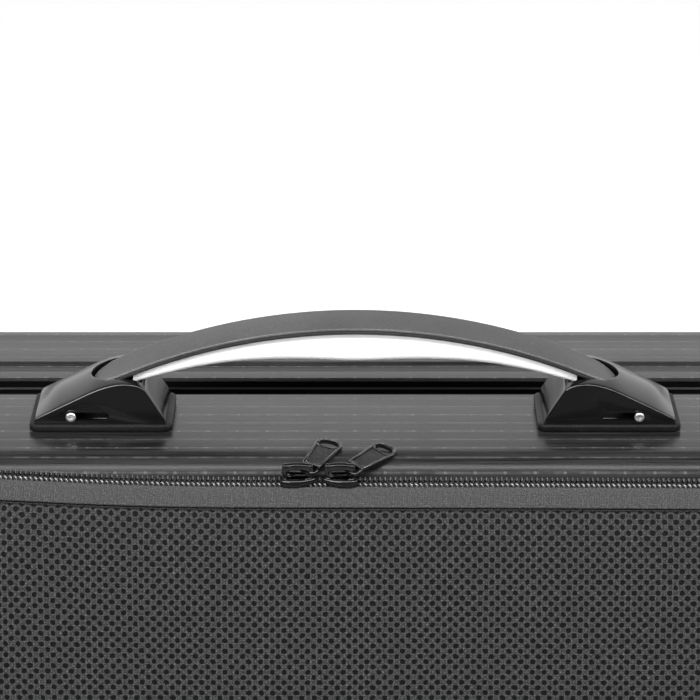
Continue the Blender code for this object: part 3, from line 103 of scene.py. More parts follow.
class Graph:
    """A node tree that is written line by line."""

    def __init__(self, tree: bpy.types.NodeTree) -> None:
        """Start on a tree.

        Args:
            tree: The node tree that the nodes go into.
        """
        self.tree = tree

    def node(self, kind: str, **settings: object) -> bpy.types.Node:
        """Add a node and set its plain properties."""
        made = self.tree.nodes.new(kind)
        for key, value in settings.items():
            setattr(made, key, value)
        return made

    def feed(self, socket: Socket, value: object) -> None:
        """Link a socket to another, or give it a plain value."""
        if isinstance(value, bpy.types.NodeSocket):
            self.tree.links.new(value, socket)
        else:
            socket.default_value = value

    def math(self, operation: str, *values: object, clamp: bool = False) -> Socket:
        """A Math node's result."""
        made = self.node("ShaderNodeMath", operation=operation, use_clamp=clamp)
        return self.fed(made, values)

    def fed(self, made: bpy.types.Node, values: Iterable[object]) -> Socket:
        """A node's first result, once its inputs have their values in order."""
        for socket, value in zip(made.inputs, values):
            self.feed(socket, value)
        return made.outputs[0]

    def times(self, *values: object, clamp: bool = False) -> Socket:
        """A product."""
        return self.math("MULTIPLY", *values, clamp=clamp)

    def plus(self, *values: object, clamp: bool = False) -> Socket:
        """A sum."""
        return self.math("ADD", *values, clamp=clamp)

    def less(self, *values: object) -> Socket:
        """A difference."""
        return self.math("SUBTRACT", *values)

    def over(self, value: object, divisor: object) -> Socket:
        """A quotient."""
        return self.math("DIVIDE", value, divisor)

    def blend(self, parts: Sequence[tuple[object, float]]) -> Socket:
        """The sum of two values, each times its share."""
        return self.plus(*[self.times(value, share) for value, share in parts])

    def mix(self, share: object, low: object, high: object) -> Socket:
        """A colour between two, by share."""
        made = self.node("ShaderNodeMix", data_type="RGBA")
        for socket, value in ((made.inputs[0], share), (made.inputs[6], paint(low)), (made.inputs[7], paint(high))):
            self.feed(socket, value)
        return made.outputs[2]

    def span(self, value: object, start: float, end: float, low: float = 0.0, high: float = 1.0) -> Socket:
        """A value carried from start..end to low..high, smooth at both ends."""
        made = self.node("ShaderNodeMapRange", interpolation_type="SMOOTHSTEP")
        return self.fed(made, (value, start, end, low, high))

    def split(self, vector: Socket) -> tuple[Socket, Socket, Socket]:
        """The three parts of a vector."""
        made = self.node("ShaderNodeSeparateXYZ")
        self.feed(made.inputs[0], vector)
        return tuple(made.outputs[:3])

    def join(self, *parts: object) -> Socket:
        """A vector from its parts."""
        return self.fed(self.node("ShaderNodeCombineXYZ"), parts)

    def noise(self, vector: Socket, scale: object, detail: float = 3.0, rough: float = 0.5) -> Socket:
        """Noise from 0 to 1."""
        made = self.node("ShaderNodeTexNoise")
        self.feed(made.inputs["Vector"], vector)
        self.feed(made.inputs["Scale"], scale)
        made.inputs["Detail"].default_value = detail
        made.inputs["Roughness"].default_value = rough
        return made.outputs[0]

    def apart(self, value: Socket, pitch: float, shift: float = 0.0) -> Socket:
        """The distance from the nearest of evenly spaced lines."""
        turned = self.math("FRACT", self.plus(self.over(value, pitch), 0.5 + shift))
        return self.times(self.math("ABSOLUTE", self.less(turned, 0.5)), pitch)

    def length(self, first: Socket, second: Socket) -> Socket:
        """The length of a flat vector from its two parts."""
        return self.math("SQRT", self.plus(self.times(first, first), self.times(second, second)))

    def bump(self, height: Socket, depth: float, strength: float = 1.0) -> Socket:
        """A normal from a height of 0 to 1 that stands for depth metres."""
        made = self.node("ShaderNodeBump")
        made.inputs["Strength"].default_value = strength
        made.inputs["Distance"].default_value = depth
        self.feed(made.inputs["Height"], height)
        return made.outputs[0]


def node_group(name: str, inputs: dict[str, str], outputs: dict[str, str],
               fill: Callable[[Graph, dict[str, Socket]], dict[str, Socket]]) -> bpy.types.NodeTree:
    """A shader group that is built once.

    Args:
        name: The group's name.
        inputs: Socket names and kinds.
        outputs: Socket names and kinds.
        fill: Draws the nodes and returns the outputs' sockets by name.

    Returns:
        The node group.
    """
    tree = bpy.data.node_groups.get(name)
    if tree:
        return tree
    tree = bpy.data.node_groups.new(name, "ShaderNodeTree")
    for way, sockets in (("INPUT", inputs), ("OUTPUT", outputs)):
        for label, kind in sockets.items():
            tree.interface.new_socket(label, in_out=way, socket_type=kind)
    graph = Graph(tree)
    entry = graph.node("NodeGroupInput")
    results = fill(graph, {label: entry.outputs[label] for label in inputs})
    leaving = graph.node("NodeGroupOutput")
    for label, socket in results.items():
        graph.feed(leaving.inputs[label], socket)
    return tree


VECTOR, VALUE = "NodeSocketVector", "NodeSocketFloat"


def fine_grain() -> bpy.types.NodeTree:
    """Fine moulded grain: a soft height, and a tone that varies slowly."""
    def fill(graph: Graph, given: dict[str, Socket]) -> dict[str, Socket]:
        fine = graph.noise(given["Vector"], given["Grains"], 2.0)
        broad = graph.noise(given["Vector"], graph.over(given["Grains"], 90.0), 3.0)
        return {"Height": graph.span(fine, 0.3, 0.7), "Tone": graph.span(broad, 0.3, 0.7)}
    return node_group("fine_grain", {"Vector": VECTOR, "Grains": VALUE}, {"Height": VALUE, "Tone": VALUE}, fill)


def dust_and_rub() -> bpy.types.NodeTree:
    """Thin dust that gathers in specks and faint patches."""
    def fill(graph: Graph, given: dict[str, Socket]) -> dict[str, Socket]:
        patches = graph.span(graph.noise(given["Vector"], 18.0, 4.0, 0.6), 0.5, 0.75)
        specks = graph.span(graph.noise(given["Vector"], 1400.0, 1.0), 0.72, 0.8)
        both = graph.plus(graph.times(patches, 0.35), specks)
        return {"Mask": graph.times(both, given["Amount"], clamp=True)}
    return node_group("dust_and_rub", {"Vector": VECTOR, "Amount": VALUE}, {"Mask": VALUE}, fill)


def woven_threads() -> bpy.types.NodeTree:
    """Crossing threads, one over and one under, from two coordinates in metres."""
    def fill(graph: Graph, given: dict[str, Socket]) -> dict[str, Socket]:
        along, across, _ = graph.split(given["Vector"])
        waves = [graph.times(graph.over(part, given["Pitch"]), 2 * math.pi) for part in (along, across)]
        first, second = (graph.math("COSINE", wave) for wave in waves)
        half = [graph.math("COSINE", graph.times(wave, 0.5)) for wave in waves]
        over = graph.times(half[0], half[1])
        ridge = graph.blend(((first, 0.25), (second, 0.25)))
        height = graph.plus(graph.plus(ridge, graph.times(over, 0.3)), 0.5, clamp=True)
        fleck = graph.noise(given["Vector"], graph.over(1.1, given["Pitch"]), 2.0, 0.7)
        return {"Height": height, "Tone": graph.span(fleck, 0.3, 0.7)}
    return node_group("woven_threads", {"Vector": VECTOR, "Pitch": VALUE}, {"Height": VALUE, "Tone": VALUE}, fill)


def blank(name: str) -> tuple[bpy.types.Material, Graph, Socket, bpy.types.Node]:
    """A new material with its graph, the coordinates of its object, and its shader."""
    made = bpy.data.materials.new(name)
    made.use_nodes = True
    graph = Graph(made.node_tree)
    return made, graph, graph.node("ShaderNodeTexCoord").outputs["Object"], made.node_tree.nodes["Principled BSDF"]


class Finish:
    """A surface that is made as a material once."""

    name: str
    slot: str

    def draw(self, graph: Graph, place: Socket, shader: bpy.types.Node) -> None:
        """Draw the nodes that feed the shader."""
        raise NotImplementedError

    def material(self) -> bpy.types.Material:
        """The finish as a material."""
        found = bpy.data.materials.get("look_" + self.name)
        if found:
            return found
        made, *drawing = blank("look_" + self.name)
        self.draw(*drawing)
        return made

    @staticmethod
    def group(graph: Graph, tree: bpy.types.NodeTree, **values: object) -> bpy.types.Node:
        """Place a shared group with its own values."""
        made = graph.node("ShaderNodeGroup", node_tree=tree)
        for label, value in values.items():
            graph.feed(made.inputs[label], value)
        return made


@dataclass(frozen=True)
class Moulded(Finish):
    """Moulded plastic, rubber or paint: one colour with grain, dust and a varied gloss."""

    name: str
    slot: str
    colour: Triple
    light: Triple
    roughness: float
    spread: float = 0.08
    grains: float = 1500.0
    depth: float = 0.02 * MM
    dust: float = 0.25
    metallic: float = 0.0
    coat: float = 0.0
    specular: float = 0.5
    painted_highlights: tuple[Pair, ...] = ()

    def draw(self, graph: Graph, place: Socket, shader: bpy.types.Node) -> None:
        """Draw grain, dust, gloss, and paler lines (depth, brightness) painted as highlights along rounded edges."""
        grain = self.group(graph, fine_grain(), Vector=place, Grains=self.grains)
        dust = self.group(graph, dust_and_rub(), Vector=place, Amount=self.dust)
        tone = graph.blend(((grain.outputs["Tone"], 0.5), (grain.outputs["Height"], 0.5)))
        base = graph.mix(tone, self.colour, self.light)
        _, across, _ = graph.split(place)
        # Painted highlight: a thin paler line at each listed depth, where a rounded edge would catch the light.
        for edge, pale in self.painted_highlights:
            gap = graph.math("ABSOLUTE", graph.less(across, edge))
            line = graph.span(gap, 0.15 * MM, 0.55 * MM, 1.0, 0.0)
            base = graph.mix(line, base, pale)
        graph.feed(shader.inputs["Base Color"], graph.mix(dust.outputs["Mask"], base, (0.35, 0.35, 0.34)))
        rough = graph.span(grain.outputs["Tone"], 0, 1, self.roughness - self.spread, self.roughness + self.spread)
        dusty = graph.times(dust.outputs["Mask"], 0.3)
        graph.feed(shader.inputs["Roughness"], graph.plus(rough, dusty, clamp=True))
        graph.feed(shader.inputs["Normal"], graph.bump(grain.outputs["Height"], self.depth))
        shader.inputs["Metallic"].default_value = self.metallic
        shader.inputs["Coat Weight"].default_value = self.coat
        shader.inputs["Specular IOR Level"].default_value = self.specular


@dataclass(frozen=True)
class Laminate(Finish):
    """Dark brushed laminate with pinstripes, every second of which carries a row of dots."""

    name: str
    slot: str
    face: float
    toward: float
    phase: float
    stripe: float = 6.25 * MM
    dot_pitch: float = 8.15 * MM
    dot_radius: float = 0.62 * MM
    stripe_width: float = 0.75 * MM
    gloss: Pair = (0.24, 0.34)
    dust: float = 0.12
    seam: float = 6.3 * MM
    middle: float = 133.5 * MM

    def draw(self, graph: Graph, place: Socket, shader: bpy.types.Node) -> None:
        """Draw streaks along the case, stripes and dots on the unrolled shell."""
        x, y, z = graph.split(place)
        turn_x, turn_y, turn_z = graph.split(graph.node("ShaderNodeTexCoord").outputs["Normal"])
        depth = graph.times(graph.less(y, self.face), self.toward)
        along = graph.plus(x, graph.times(depth, turn_x))
        across = graph.plus(z, graph.times(depth, turn_z))

        turned = graph.times(graph.less(y, self.seam), turn_y)
        for part in (graph.times(x, turn_x), graph.times(graph.less(z, self.middle), turn_z)):
            turned = graph.plus(turned, part)
        outer = graph.span(turned, -0.001, 0.001)

        streaks = []
        for coarse, fine, detail in ((9.0, 420.0, 3.0), (40.0, 2600.0, 2.0)):
            flat = graph.join(graph.times(along, coarse), graph.times(across, fine), 0.0)
            streaks.append(graph.noise(flat, 1.0, detail, 0.6))
        broad, fine = streaks
        streak = graph.blend(((graph.span(broad, 0.25, 0.75), 0.55), (graph.span(fine, 0.25, 0.75), 0.45)))

        line = graph.span(graph.apart(across, self.stripe, self.phase * 2), 0.0, self.stripe_width, 1.0, 0.0)
        line = graph.times(line, outer)
        row = graph.apart(across, self.stripe * 2, self.phase)
        column = graph.apart(along, self.dot_pitch)
        disc = graph.span(graph.length(row, column), self.dot_radius * 0.45, self.dot_radius, 1.0, 0.0)
        dot = graph.times(disc, outer)
        broken = graph.span(graph.noise(graph.join(graph.times(along, 60.0), across, 0.0), 6.0, 1.0), 0.3, 0.7)

        dark = graph.mix(streak, 0.002, (0.04, 0.04, 0.041))
        worn = graph.times(line, graph.span(broken, 0.0, 1.0, 0.3, 0.9))
        lined = graph.mix(worn, dark, (0.085, 0.085, 0.087))
        dotted = graph.mix(graph.times(dot, 0.8), lined, (0.14, 0.14, 0.143))
        dust = self.group(graph, dust_and_rub(), Vector=place, Amount=self.dust)
        graph.feed(shader.inputs["Base Color"], graph.mix(dust.outputs["Mask"], dotted, 0.3))
        graph.feed(shader.inputs["Roughness"], graph.span(streak, 0.0, 1.0, *self.gloss))
        height = graph.blend(((streak, 0.7), (line, 0.3)))
        graph.feed(shader.inputs["Normal"], graph.bump(height, 0.012 * MM))
        shader.inputs["IOR"].default_value = 1.34


@dataclass(frozen=True)
class Velvet(Finish):
    """Short dark pile with brushed patches."""

    name: str
    slot: str
    colour: Triple = (0.018, 0.018, 0.021)
    light: Triple = (0.07, 0.07, 0.077)

    def draw(self, graph: Graph, place: Socket, shader: bpy.types.Node) -> None:
        """Draw pile, brushed patches and sheen."""
        pile = graph.noise(place, 2600.0, 2.0, 0.8)
        brushed = graph.noise(place, 42.0, 4.0, 0.65)
        tone = graph.blend(((graph.span(pile, 0.25, 0.75), 0.65), (graph.span(brushed, 0.25, 0.75), 0.35)))
        graph.feed(shader.inputs["Base Color"], graph.mix(tone, self.colour, self.light))
        graph.feed(shader.inputs["Roughness"], graph.span(tone, 0, 1, 0.85, 1.0))
        graph.feed(shader.inputs["Normal"], graph.bump(pile, 0.25 * MM, 0.7))
        shader.inputs["Specular IOR Level"].default_value = 0.2
        shader.inputs["Sheen Weight"].default_value = 0.35
        shader.inputs["Sheen Roughness"].default_value = 0.4


@dataclass(frozen=True)
class Woven(Finish):
    """Plain woven cloth with a speckle of lighter threads."""

    name: str
    slot: str
    pitch: float = 0.34 * MM
    colour: Triple = grey(0.02)
    light: Triple = grey(0.17)

    def draw(self, graph: Graph, place: Socket, shader: bpy.types.Node) -> None:
        """Draw threads at a slant, with speckle."""
        flat = graph.node("ShaderNodeUVMap", uv_map="cloth").outputs[0]
        u, v, _ = graph.split(flat)
        slanted = graph.join(graph.plus(u, v), graph.less(u, v), 0.0)
        weave = self.group(graph, woven_threads(), Vector=slanted, Pitch=self.pitch * 2)
        speckle = graph.span(graph.noise(flat, 1900.0, 2.0, 0.7), 0.35, 0.65)
        threads = graph.plus(graph.times(weave.outputs["Height"], 0.6), 0.4)
        flecks = graph.plus(graph.times(graph.times(weave.outputs["Tone"], speckle), 0.8), 0.2)
        tone = graph.times(threads, flecks)
        graph.feed(shader.inputs["Base Color"], graph.mix(tone, self.colour, self.light))
        shader.inputs["Roughness"].default_value = 0.85
        graph.feed(shader.inputs["Normal"], graph.bump(weave.outputs["Height"], 0.2 * MM))
        shader.inputs["Specular IOR Level"].default_value = 0.25
        shader.inputs["Sheen Weight"].default_value = 0.1


@dataclass(frozen=True)
class SpacerMesh(Finish):
    """Knitted spacer mesh with staggered rounded holes."""

    name: str
    slot: str
    column: float = 3.2 * MM
    row: float = 3.0 * MM
    hole: Pair = (0.7 * MM, 0.76 * MM)

    def draw(self, graph: Graph, place: Socket, shader: bpy.types.Node) -> None:
        """Draw two lattices of holes and the knitted threads between them."""
        flat = graph.node("ShaderNodeUVMap", uv_map="cloth").outputs[0]
        wobble = graph.times(graph.less(graph.noise(flat, 420.0, 2.0), 0.5), 1.1 * MM)
        u, v, _ = graph.split(flat)
        u = graph.plus(u, wobble)
        holes = []
        for shift in (0.0, 0.5):
            wide = graph.over(graph.apart(u, self.column, shift), self.hole[0])
            high = graph.over(graph.apart(v, self.row, shift), self.hole[1])
            holes.append(graph.length(wide, high))
        nearest = graph.math("MINIMUM", *holes)
        hole = graph.span(nearest, 0.8, 1.15, 1.0, 0.0)
        rim = graph.span(nearest, 1.0, 2.2, 1.0, 0.0)
        threads = self.group(graph, woven_threads(), Vector=graph.join(u, v, 0.0), Pitch=0.75 * MM)
        knit = graph.times(threads.outputs["Height"], threads.outputs["Tone"])
        tone = graph.plus(graph.times(knit, 0.75), graph.times(rim, 0.2), clamp=True)
        solid = graph.mix(tone, 0.009, 0.11)
        graph.feed(shader.inputs["Base Color"], graph.mix(hole, solid, 0.001))
        shader.inputs["Roughness"].default_value = 0.8
        raised = graph.times(graph.less(1.0, hole), graph.plus(graph.times(knit, 0.3), 0.7))
        graph.feed(shader.inputs["Normal"], graph.bump(raised, 0.7 * MM))
        shader.inputs["Specular IOR Level"].default_value = 0.25


STRIPE_PHASE = -307.14 / 12.5
LAMINATE_BACK = Laminate("laminate_back", "laminate", -48.6 * MM, 1.0, STRIPE_PHASE)
LAMINATE_LID = Laminate("laminate_lid", "laminate", 70.6 * MM, -1.0, STRIPE_PHASE + 0.21)
# The rim's two paler lines are painted highlights along its rounded edges.
RIM = Moulded("rim_black", "rim_black", grey(0.0015), grey(0.004), 0.45, 0.04, dust=0.01, specular=0.0,
              painted_highlights=((7.0 * MM, 0.035), (2.5 * MM, 0.018)))
SEAL = Moulded("seal_rubber", "seal_rubber", grey(0.012), grey(0.03), 0.75)
BRACKET = Moulded("bracket_black", "bracket_black", grey(0.002), grey(0.005), 0.14, 0.02,
                  2200.0, 0.004 * MM, 0.03, specular=0.75)
RUBBER = Moulded("gasket_rubber", "gasket_rubber", grey(0.003), grey(0.01), 0.5, 0.1,
                 1200.0, 0.03 * MM, 0.08, specular=0.3)
SOFT_TOUCH = Moulded("soft_touch", "soft_touch", (0.05, 0.05, 0.051), (0.14, 0.14, 0.143), 0.62, 0.05,
                     2300.0, 0.06 * MM, 0.03)
# Lighter than the strap's soft touch: a painted highlight along the strap's upper edge.
WELT_HIGHLIGHT = Moulded("strap_welt", "soft_touch", grey(0.1), grey(0.38), 0.45, 0.08, 1300.0, 0.05 * MM, 0.05)
# The tab's rails, in a lighter copy of the slider's black with full gloss: real highlights and a painted highlight.
RAIL_HIGHLIGHT = Moulded("tab_rail", "slider_black", grey(0.02), grey(0.06), 0.2, 0.05, 900.0, 0.01 * MM, 0.05, 0.4, 1.0, 1.0)
PIN = Moulded("pin_steel", "steel", grey(0.85), grey(0.95), 0.26, 0.06, 1200.0, 0.01 * MM, 0.03, 0.9)
# The near row of the black coil, lighter and half metallic: painted highlights on its loops, on top of real gloss.
COIL_HIGHLIGHT = Moulded("zip_coil", "zip_black", grey(0.12), grey(0.4), 0.22, 0.08, 900.0, 0.01 * MM, 0.1, 0.5)
TAB_PANEL = Moulded("tab_panel", "slider_black", grey(0.003), grey(0.06), 0.8, 0.1, 2600.0,
                    0.08 * MM, 0.1, specular=0.15)
# A darker copy of the strap's soft touch: painted shade on the strap's side and on its roots under the strap.
SHADED_SOFT_TOUCH = Moulded("soft_core", "soft_touch", grey(0.006), grey(0.02), 0.6, 0.08, 1500.0, 0.08 * MM, 0.1)
SILVER = Moulded("silver", "silver", grey(0.95), grey(0.97), 0.36, 0.03, 1800.0, 0.003 * MM, 0.0, 0.02)
PLATED = Moulded("plated", "silver", (0.6, 0.6, 0.61), (0.75, 0.75, 0.76), 0.22, 0.06, 900.0, 0.006 * MM, 0.15, 1.0)
STEEL = Moulded("steel", "steel", grey(0.45), grey(0.62), 0.28, 0.08, 1200.0, 0.01 * MM, 0.15, 1.0)
ZIP_TEETH = Moulded("zip_teeth", "zip_black", grey(0.02), grey(0.05), 0.3, 0.08, 2500.0, 0.02 * MM, 0.2)
THREAD = Moulded("thread", "zip_black", grey(0.05), grey(0.16), 0.7, 0.1, 4000.0, 0.05 * MM, 0.2)
SLIDER = Moulded("slider_black", "slider_black", grey(0.003), grey(0.01), 0.13, 0.04, 900.0,
                 0.008 * MM, 0.08, 0.2, 0.5)
SEAM_THREAD = Moulded("seam_thread", "zip_black", grey(0.006), grey(0.02), 0.8, 0.1, 4000.0, 0.05 * MM, 0.1)
CLIP = Moulded("clip_black", "bracket_black", grey(0.01), grey(0.022), 0.35, 0.06)
PLUSH = Velvet("plush", "foam_velvet")
PIPING = Velvet("piping", "foam_velvet", (0.03, 0.03, 0.033), (0.12, 0.12, 0.13))
BAND_CLOTH = Woven("band_cloth", "plain_weave")
TAPE_CLOTH = Woven("tape_cloth", "zip_black", 0.42 * MM, grey(0.012), grey(0.07))
STRAP_CLOTH = Woven("strap_cloth", "plain_weave", 0.8 * MM)
MESH_CLOTH = SpacerMesh("spacer_mesh", "mesh_fabric")


# --- mesh making


def link(name: str, mesh: bpy.types.Mesh) -> Piece:
    """Put a mesh in the scene as an object."""
    item = bpy.data.objects.new(name, mesh)
    bpy.context.scene.collection.objects.link(item)
    return item


def from_bmesh(name: str, mesh: bmesh.types.BMesh) -> Piece:
    """Turn a bmesh into an object with its faces outward."""
    bmesh.ops.recalc_face_normals(mesh, faces=mesh.faces)
    data = bpy.data.meshes.new(name)
    mesh.to_mesh(data)
    mesh.free()
    return link(name, data)


def loft(name: str, rings: Sequence[Sequence[Vector]], closed: bool = False, capped: bool = True,
         open_rings: bool = False, flats: Sequence[Section] | None = None) -> Piece:
    """A skin through rings of equal count.

    Args:
        name: The object's name.
        rings: Points of each ring.
        closed: The last ring joins the first.
        capped: The first and last rings are filled.
        open_rings: A ring's last point doesn't join its first.
        flats: Cloth coordinates of each point, in metres.

    Returns:
        The object.
    """
    mesh = bmesh.new()
    rows = [[mesh.verts.new(point) for point in ring] for ring in rings]
    layer = mesh.loops.layers.uv.new("cloth") if flats else None
    places = {vert: flat for row, line in zip(rows, flats or ()) for vert, flat in zip(row, line)}
    following = rows[1:] + rows[:1] if closed else rows[1:]
    for low, high in zip(rows, following):
        count = len(low)
        for index in range(count - 1 if open_rings else count):
            after = (index + 1) % count
            mesh.faces.new((low[index], low[after], high[after], high[index]))
    if capped and not closed and not open_rings:
        mesh.faces.new(list(reversed(rows[0])))
        mesh.faces.new(rows[-1])
    if layer:
        for face in mesh.faces:
            for corner in face.loops:
                corner[layer].uv = places[corner.vert]
    return from_bmesh(name, mesh)


def slice_at(outline: Section, axis: str, along: float) -> list[Vector]:
    """An outline in the plane across an axis, at a place along it."""
    place = {"X": lambda a, b: (along, a, b), "Y": lambda a, b: (a, along, b), "Z": lambda a, b: (a, b, along)}[axis]
    return [Vector(place(a, b)) for a, b in outline]


def prism(name: str, outline: Section, axis: str, low: float, high: float) -> Piece:
    """An outline in the plane across an axis, carried from low to high along it."""
    return loft(name, [slice_at(outline, axis, along) for along in sorted((low, high))])


def block(name: str, low: Sequence[float], high: Sequence[float]) -> Piece:
    """A box between two corners, as a start for other tools."""
    outline = ((low[0], low[1]), (high[0], low[1]), (high[0], high[1]), (low[0], high[1]))
    return prism(name, outline, "Z", low[2], high[2])


def arc(centre: Sequence[float], radius: float, start: float, end: float, steps: int) -> list[Pair]:
    """Points along an arc in a plane."""
    turns = [start + (end - start) * step / steps for step in range(steps + 1)]
    return [(centre[0] + radius * math.cos(turn), centre[1] + radius * math.sin(turn)) for turn in turns]


def circle(centre: Sequence[float], radius: float, sides: int = 32) -> list[Pair]:
    """Points round a circle in a plane."""
    return arc(centre, radius, 0, 2 * math.pi, sides)[:-1]


def rounded(half_a: float, half_b: float, radius: float, steps: int = 8,
            centre: Sequence[float] = (0, 0)) -> list[Pair]:
    """Points round a rectangle with round corners."""
    points = []
    for corner, (sign_a, sign_b) in enumerate(((1, 1), (-1, 1), (-1, -1), (1, -1))):
        middle = (centre[0] + sign_a * (half_a - radius), centre[1] + sign_b * (half_b - radius))
        points += arc(middle, radius, corner * math.pi / 2, (corner + 1) * math.pi / 2, steps)
    return points


def eased(points: Section, steps: int = 6) -> list[Pair]:
    """A smooth curve through points, from the first to the last."""
    ends = [points[0], *points, points[-1]]
    result = []
    for index in range(1, len(ends) - 2):
        before, start, end, after = (np.array(ends[index + shift]) for shift in (-1, 0, 1, 2))
        for step in range(steps):
            t = step / steps
            value = 0.5 * ((2 * start) + (end - before) * t + (2 * before - 5 * start + 4 * end - after) * t ** 2
                           + (3 * start - before - 3 * end + after) * t ** 3)
            result.append(tuple(value))
    return result + [tuple(points[-1])]


@contextmanager
def edited(item: Piece) -> Iterator[bmesh.types.BMesh]:
    """An object's mesh, open for changes that are written back at the end."""
    mesh = bmesh.new()
    mesh.from_mesh(item.data)
    yield mesh
    mesh.to_mesh(item.data)
    mesh.free()


def keep_modifiers(item: Piece) -> Piece:
    """Apply an object's modifiers."""
    bpy.context.view_layer.update()
    result = bpy.data.meshes.new_from_object(item.evaluated_get(bpy.context.evaluated_depsgraph_get()))
    item.modifiers.clear()
    item.data = result
    return item


def modified(item: Piece, kind: str, **settings: object) -> Piece:
    """Change an object with a modifier of a kind, and apply it."""
    modifier = item.modifiers.new(kind.lower(), kind)
    for key, value in settings.items():
        setattr(modifier, key, value)
    return keep_modifiers(item)


def combine(item: Piece, tool: Piece, operation: str = "DIFFERENCE") -> Piece:
    """Cut a tool from an object, or join it on with UNION."""
    modified(item, "BOOLEAN", operation=operation, object=tool)
    bpy.data.objects.remove(tool, do_unlink=True)
    with edited(item) as mesh:
        bmesh.ops.remove_doubles(mesh, verts=mesh.verts, dist=WELD)
        bmesh.ops.dissolve_degenerate(mesh, edges=mesh.edges, dist=WELD)
    return item


def soften(item: Piece, width: float, segments: int = 3, angle: float = 35.0) -> Piece:
    """Round an object's sharp edges."""
    return modified(item, "BEVEL", width=width, segments=segments, limit_method="ANGLE",
                    angle_limit=math.radians(angle), use_clamp_overlap=True)


def thicken(item: Piece, thickness: float) -> Piece:
    """Give a sheet of cloth its thickness."""
    return smooth(modified(item, "SOLIDIFY", thickness=thickness, offset=-1.0), CLOTH)


def smooth(item: Piece, angle: float = 38.0) -> Piece:
    """Shade round faces smooth and keep real edges sharp."""
    item.data.shade_smooth()
    item.data.set_sharp_from_angle(angle=math.radians(angle))
    return item


def subdivided(item: Piece, levels: int = 1) -> Piece:
    """One or more subdivisions, applied."""
    return modified(item, "SUBSURF", levels=levels, render_levels=levels)


def sweep(name: str, path: Sequence[Vector], section: Section, up: Vector = Vector((0, 1, 0)),
          closed: bool = False) -> Piece:
    """A section carried along a path; its first coordinate lies across, its second along up."""
    rings = []
    count = len(path)
    for index, point in enumerate(path):
        before = path[index - 1] if closed or index else point
        after = path[(index + 1) % count] if closed or index < count - 1 else point
        along = (Vector(after) - Vector(before)).normalized()
        across = along.cross(up).normalized()
        rise = across.cross(along).normalized()
        rings.append([Vector(point) + across * a + rise * b for a, b in section])
    return loft(name, rings, closed=closed)


def gather(name: str, parts: Sequence[tuple[np.ndarray, np.ndarray]]) -> Piece:
    """Many small solids in one mesh, from their points and faces."""
    points, faces, start = [], [], 0
    for verts, quads in parts:
        points.append(verts)
        faces += [[start + entry for entry in quad] for quad in quads.tolist()]
        start += len(verts)
    data = bpy.data.meshes.new(name)
    data.from_pydata(np.concatenate(points).tolist(), [], faces)
    data.validate()
    return link(name, data)


def worm(path: Sequence[Sequence[float]], radii: Sequence[float], sides: int = 6) -> tuple[np.ndarray, np.ndarray]:
    """A small round bar along a few points, closed at both ends.

    Args:
        path: The points that it follows.
        radii: Its radius at each point.
        sides: The count of its sides.

    Returns:
        Its points and its faces.
    """
    spots = np.array(path, float)
    rings = []
    for index, spot in enumerate(spots):
        along = spots[min(index + 1, len(spots) - 1)] - spots[max(index - 1, 0)]
        along /= np.linalg.norm(along)
        guide = np.array((0.0, 0.31, 0.95)) if abs(along[2]) < 0.8 else np.array((1.0, 0.1, 0.0))
        across = np.cross(along, guide)
        across /= np.linalg.norm(across)
        rise = np.cross(across, along)
        turns = np.arange(sides) * 2 * math.pi / sides
        rings.append(spot + radii[index] * (np.outer(np.cos(turns), across) + np.outer(np.sin(turns), rise)))
    faces = []
    for ring in range(len(spots) - 1):
        for side in range(sides):
            after = (side + 1) % sides
            faces.append((ring * sides + side, ring * sides + after, (ring + 1) * sides + after,
                          (ring + 1) * sides + side))
    last = (len(spots) - 1) * sides
    for half in range(sides // 2 - 1):
        faces.append((0, sides - 1 - half, sides - 2 - half, half + 1))
        faces.append((last, last + half + 1, last + sides - 2 - half, last + sides - 1 - half))
    return np.concatenate(rings), np.array([face for face in faces if len(set(face)) == 4])


class Wardrobe:
    """Dresses pieces: finish, body, and the nodes that a piece stands for."""

    def __init__(self) -> None:
        """Start with nothing dressed."""
        self.count = 0

    def wear(self, item: Piece, finish: Finish, body: str, replaces: Iterable[str] = ()) -> Piece:
        """Give a piece its finish and its body.

        Args:
            item: The piece, in its place.
            finish: The surface that it wears.
            body: The body that it moves with.
            replaces: The nodes that it stands for.

        Returns:
            The piece.
        """
        self.coat(item, finish)
        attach(item, body)
        return self.stand_for(item, replaces)

    def coat(self, item: Piece, finish: Finish) -> None:
        """Put a finish on a piece."""
        item.data.materials.clear()
        item.data.materials.append(finish.material())
        self.count += 1
        LOG.info("%s wears %s", item.name, finish.name)

    def stand_for(self, item: Piece, nodes: Iterable[str]) -> Piece:
        """Hide the nodes that a piece replaces."""
        for node in nodes:
            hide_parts(node)
        return item

    def keep(self, node: str, finish: Finish) -> None:
        """Give a node that stays a better surface."""
        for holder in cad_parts[node].material_slots:
            holder.material = finish.material()
        self.count += 1
        LOG.info("%s keeps its shape and wears %s", node, finish.name)


DRESS = Wardrobe()


# --- the case's outline


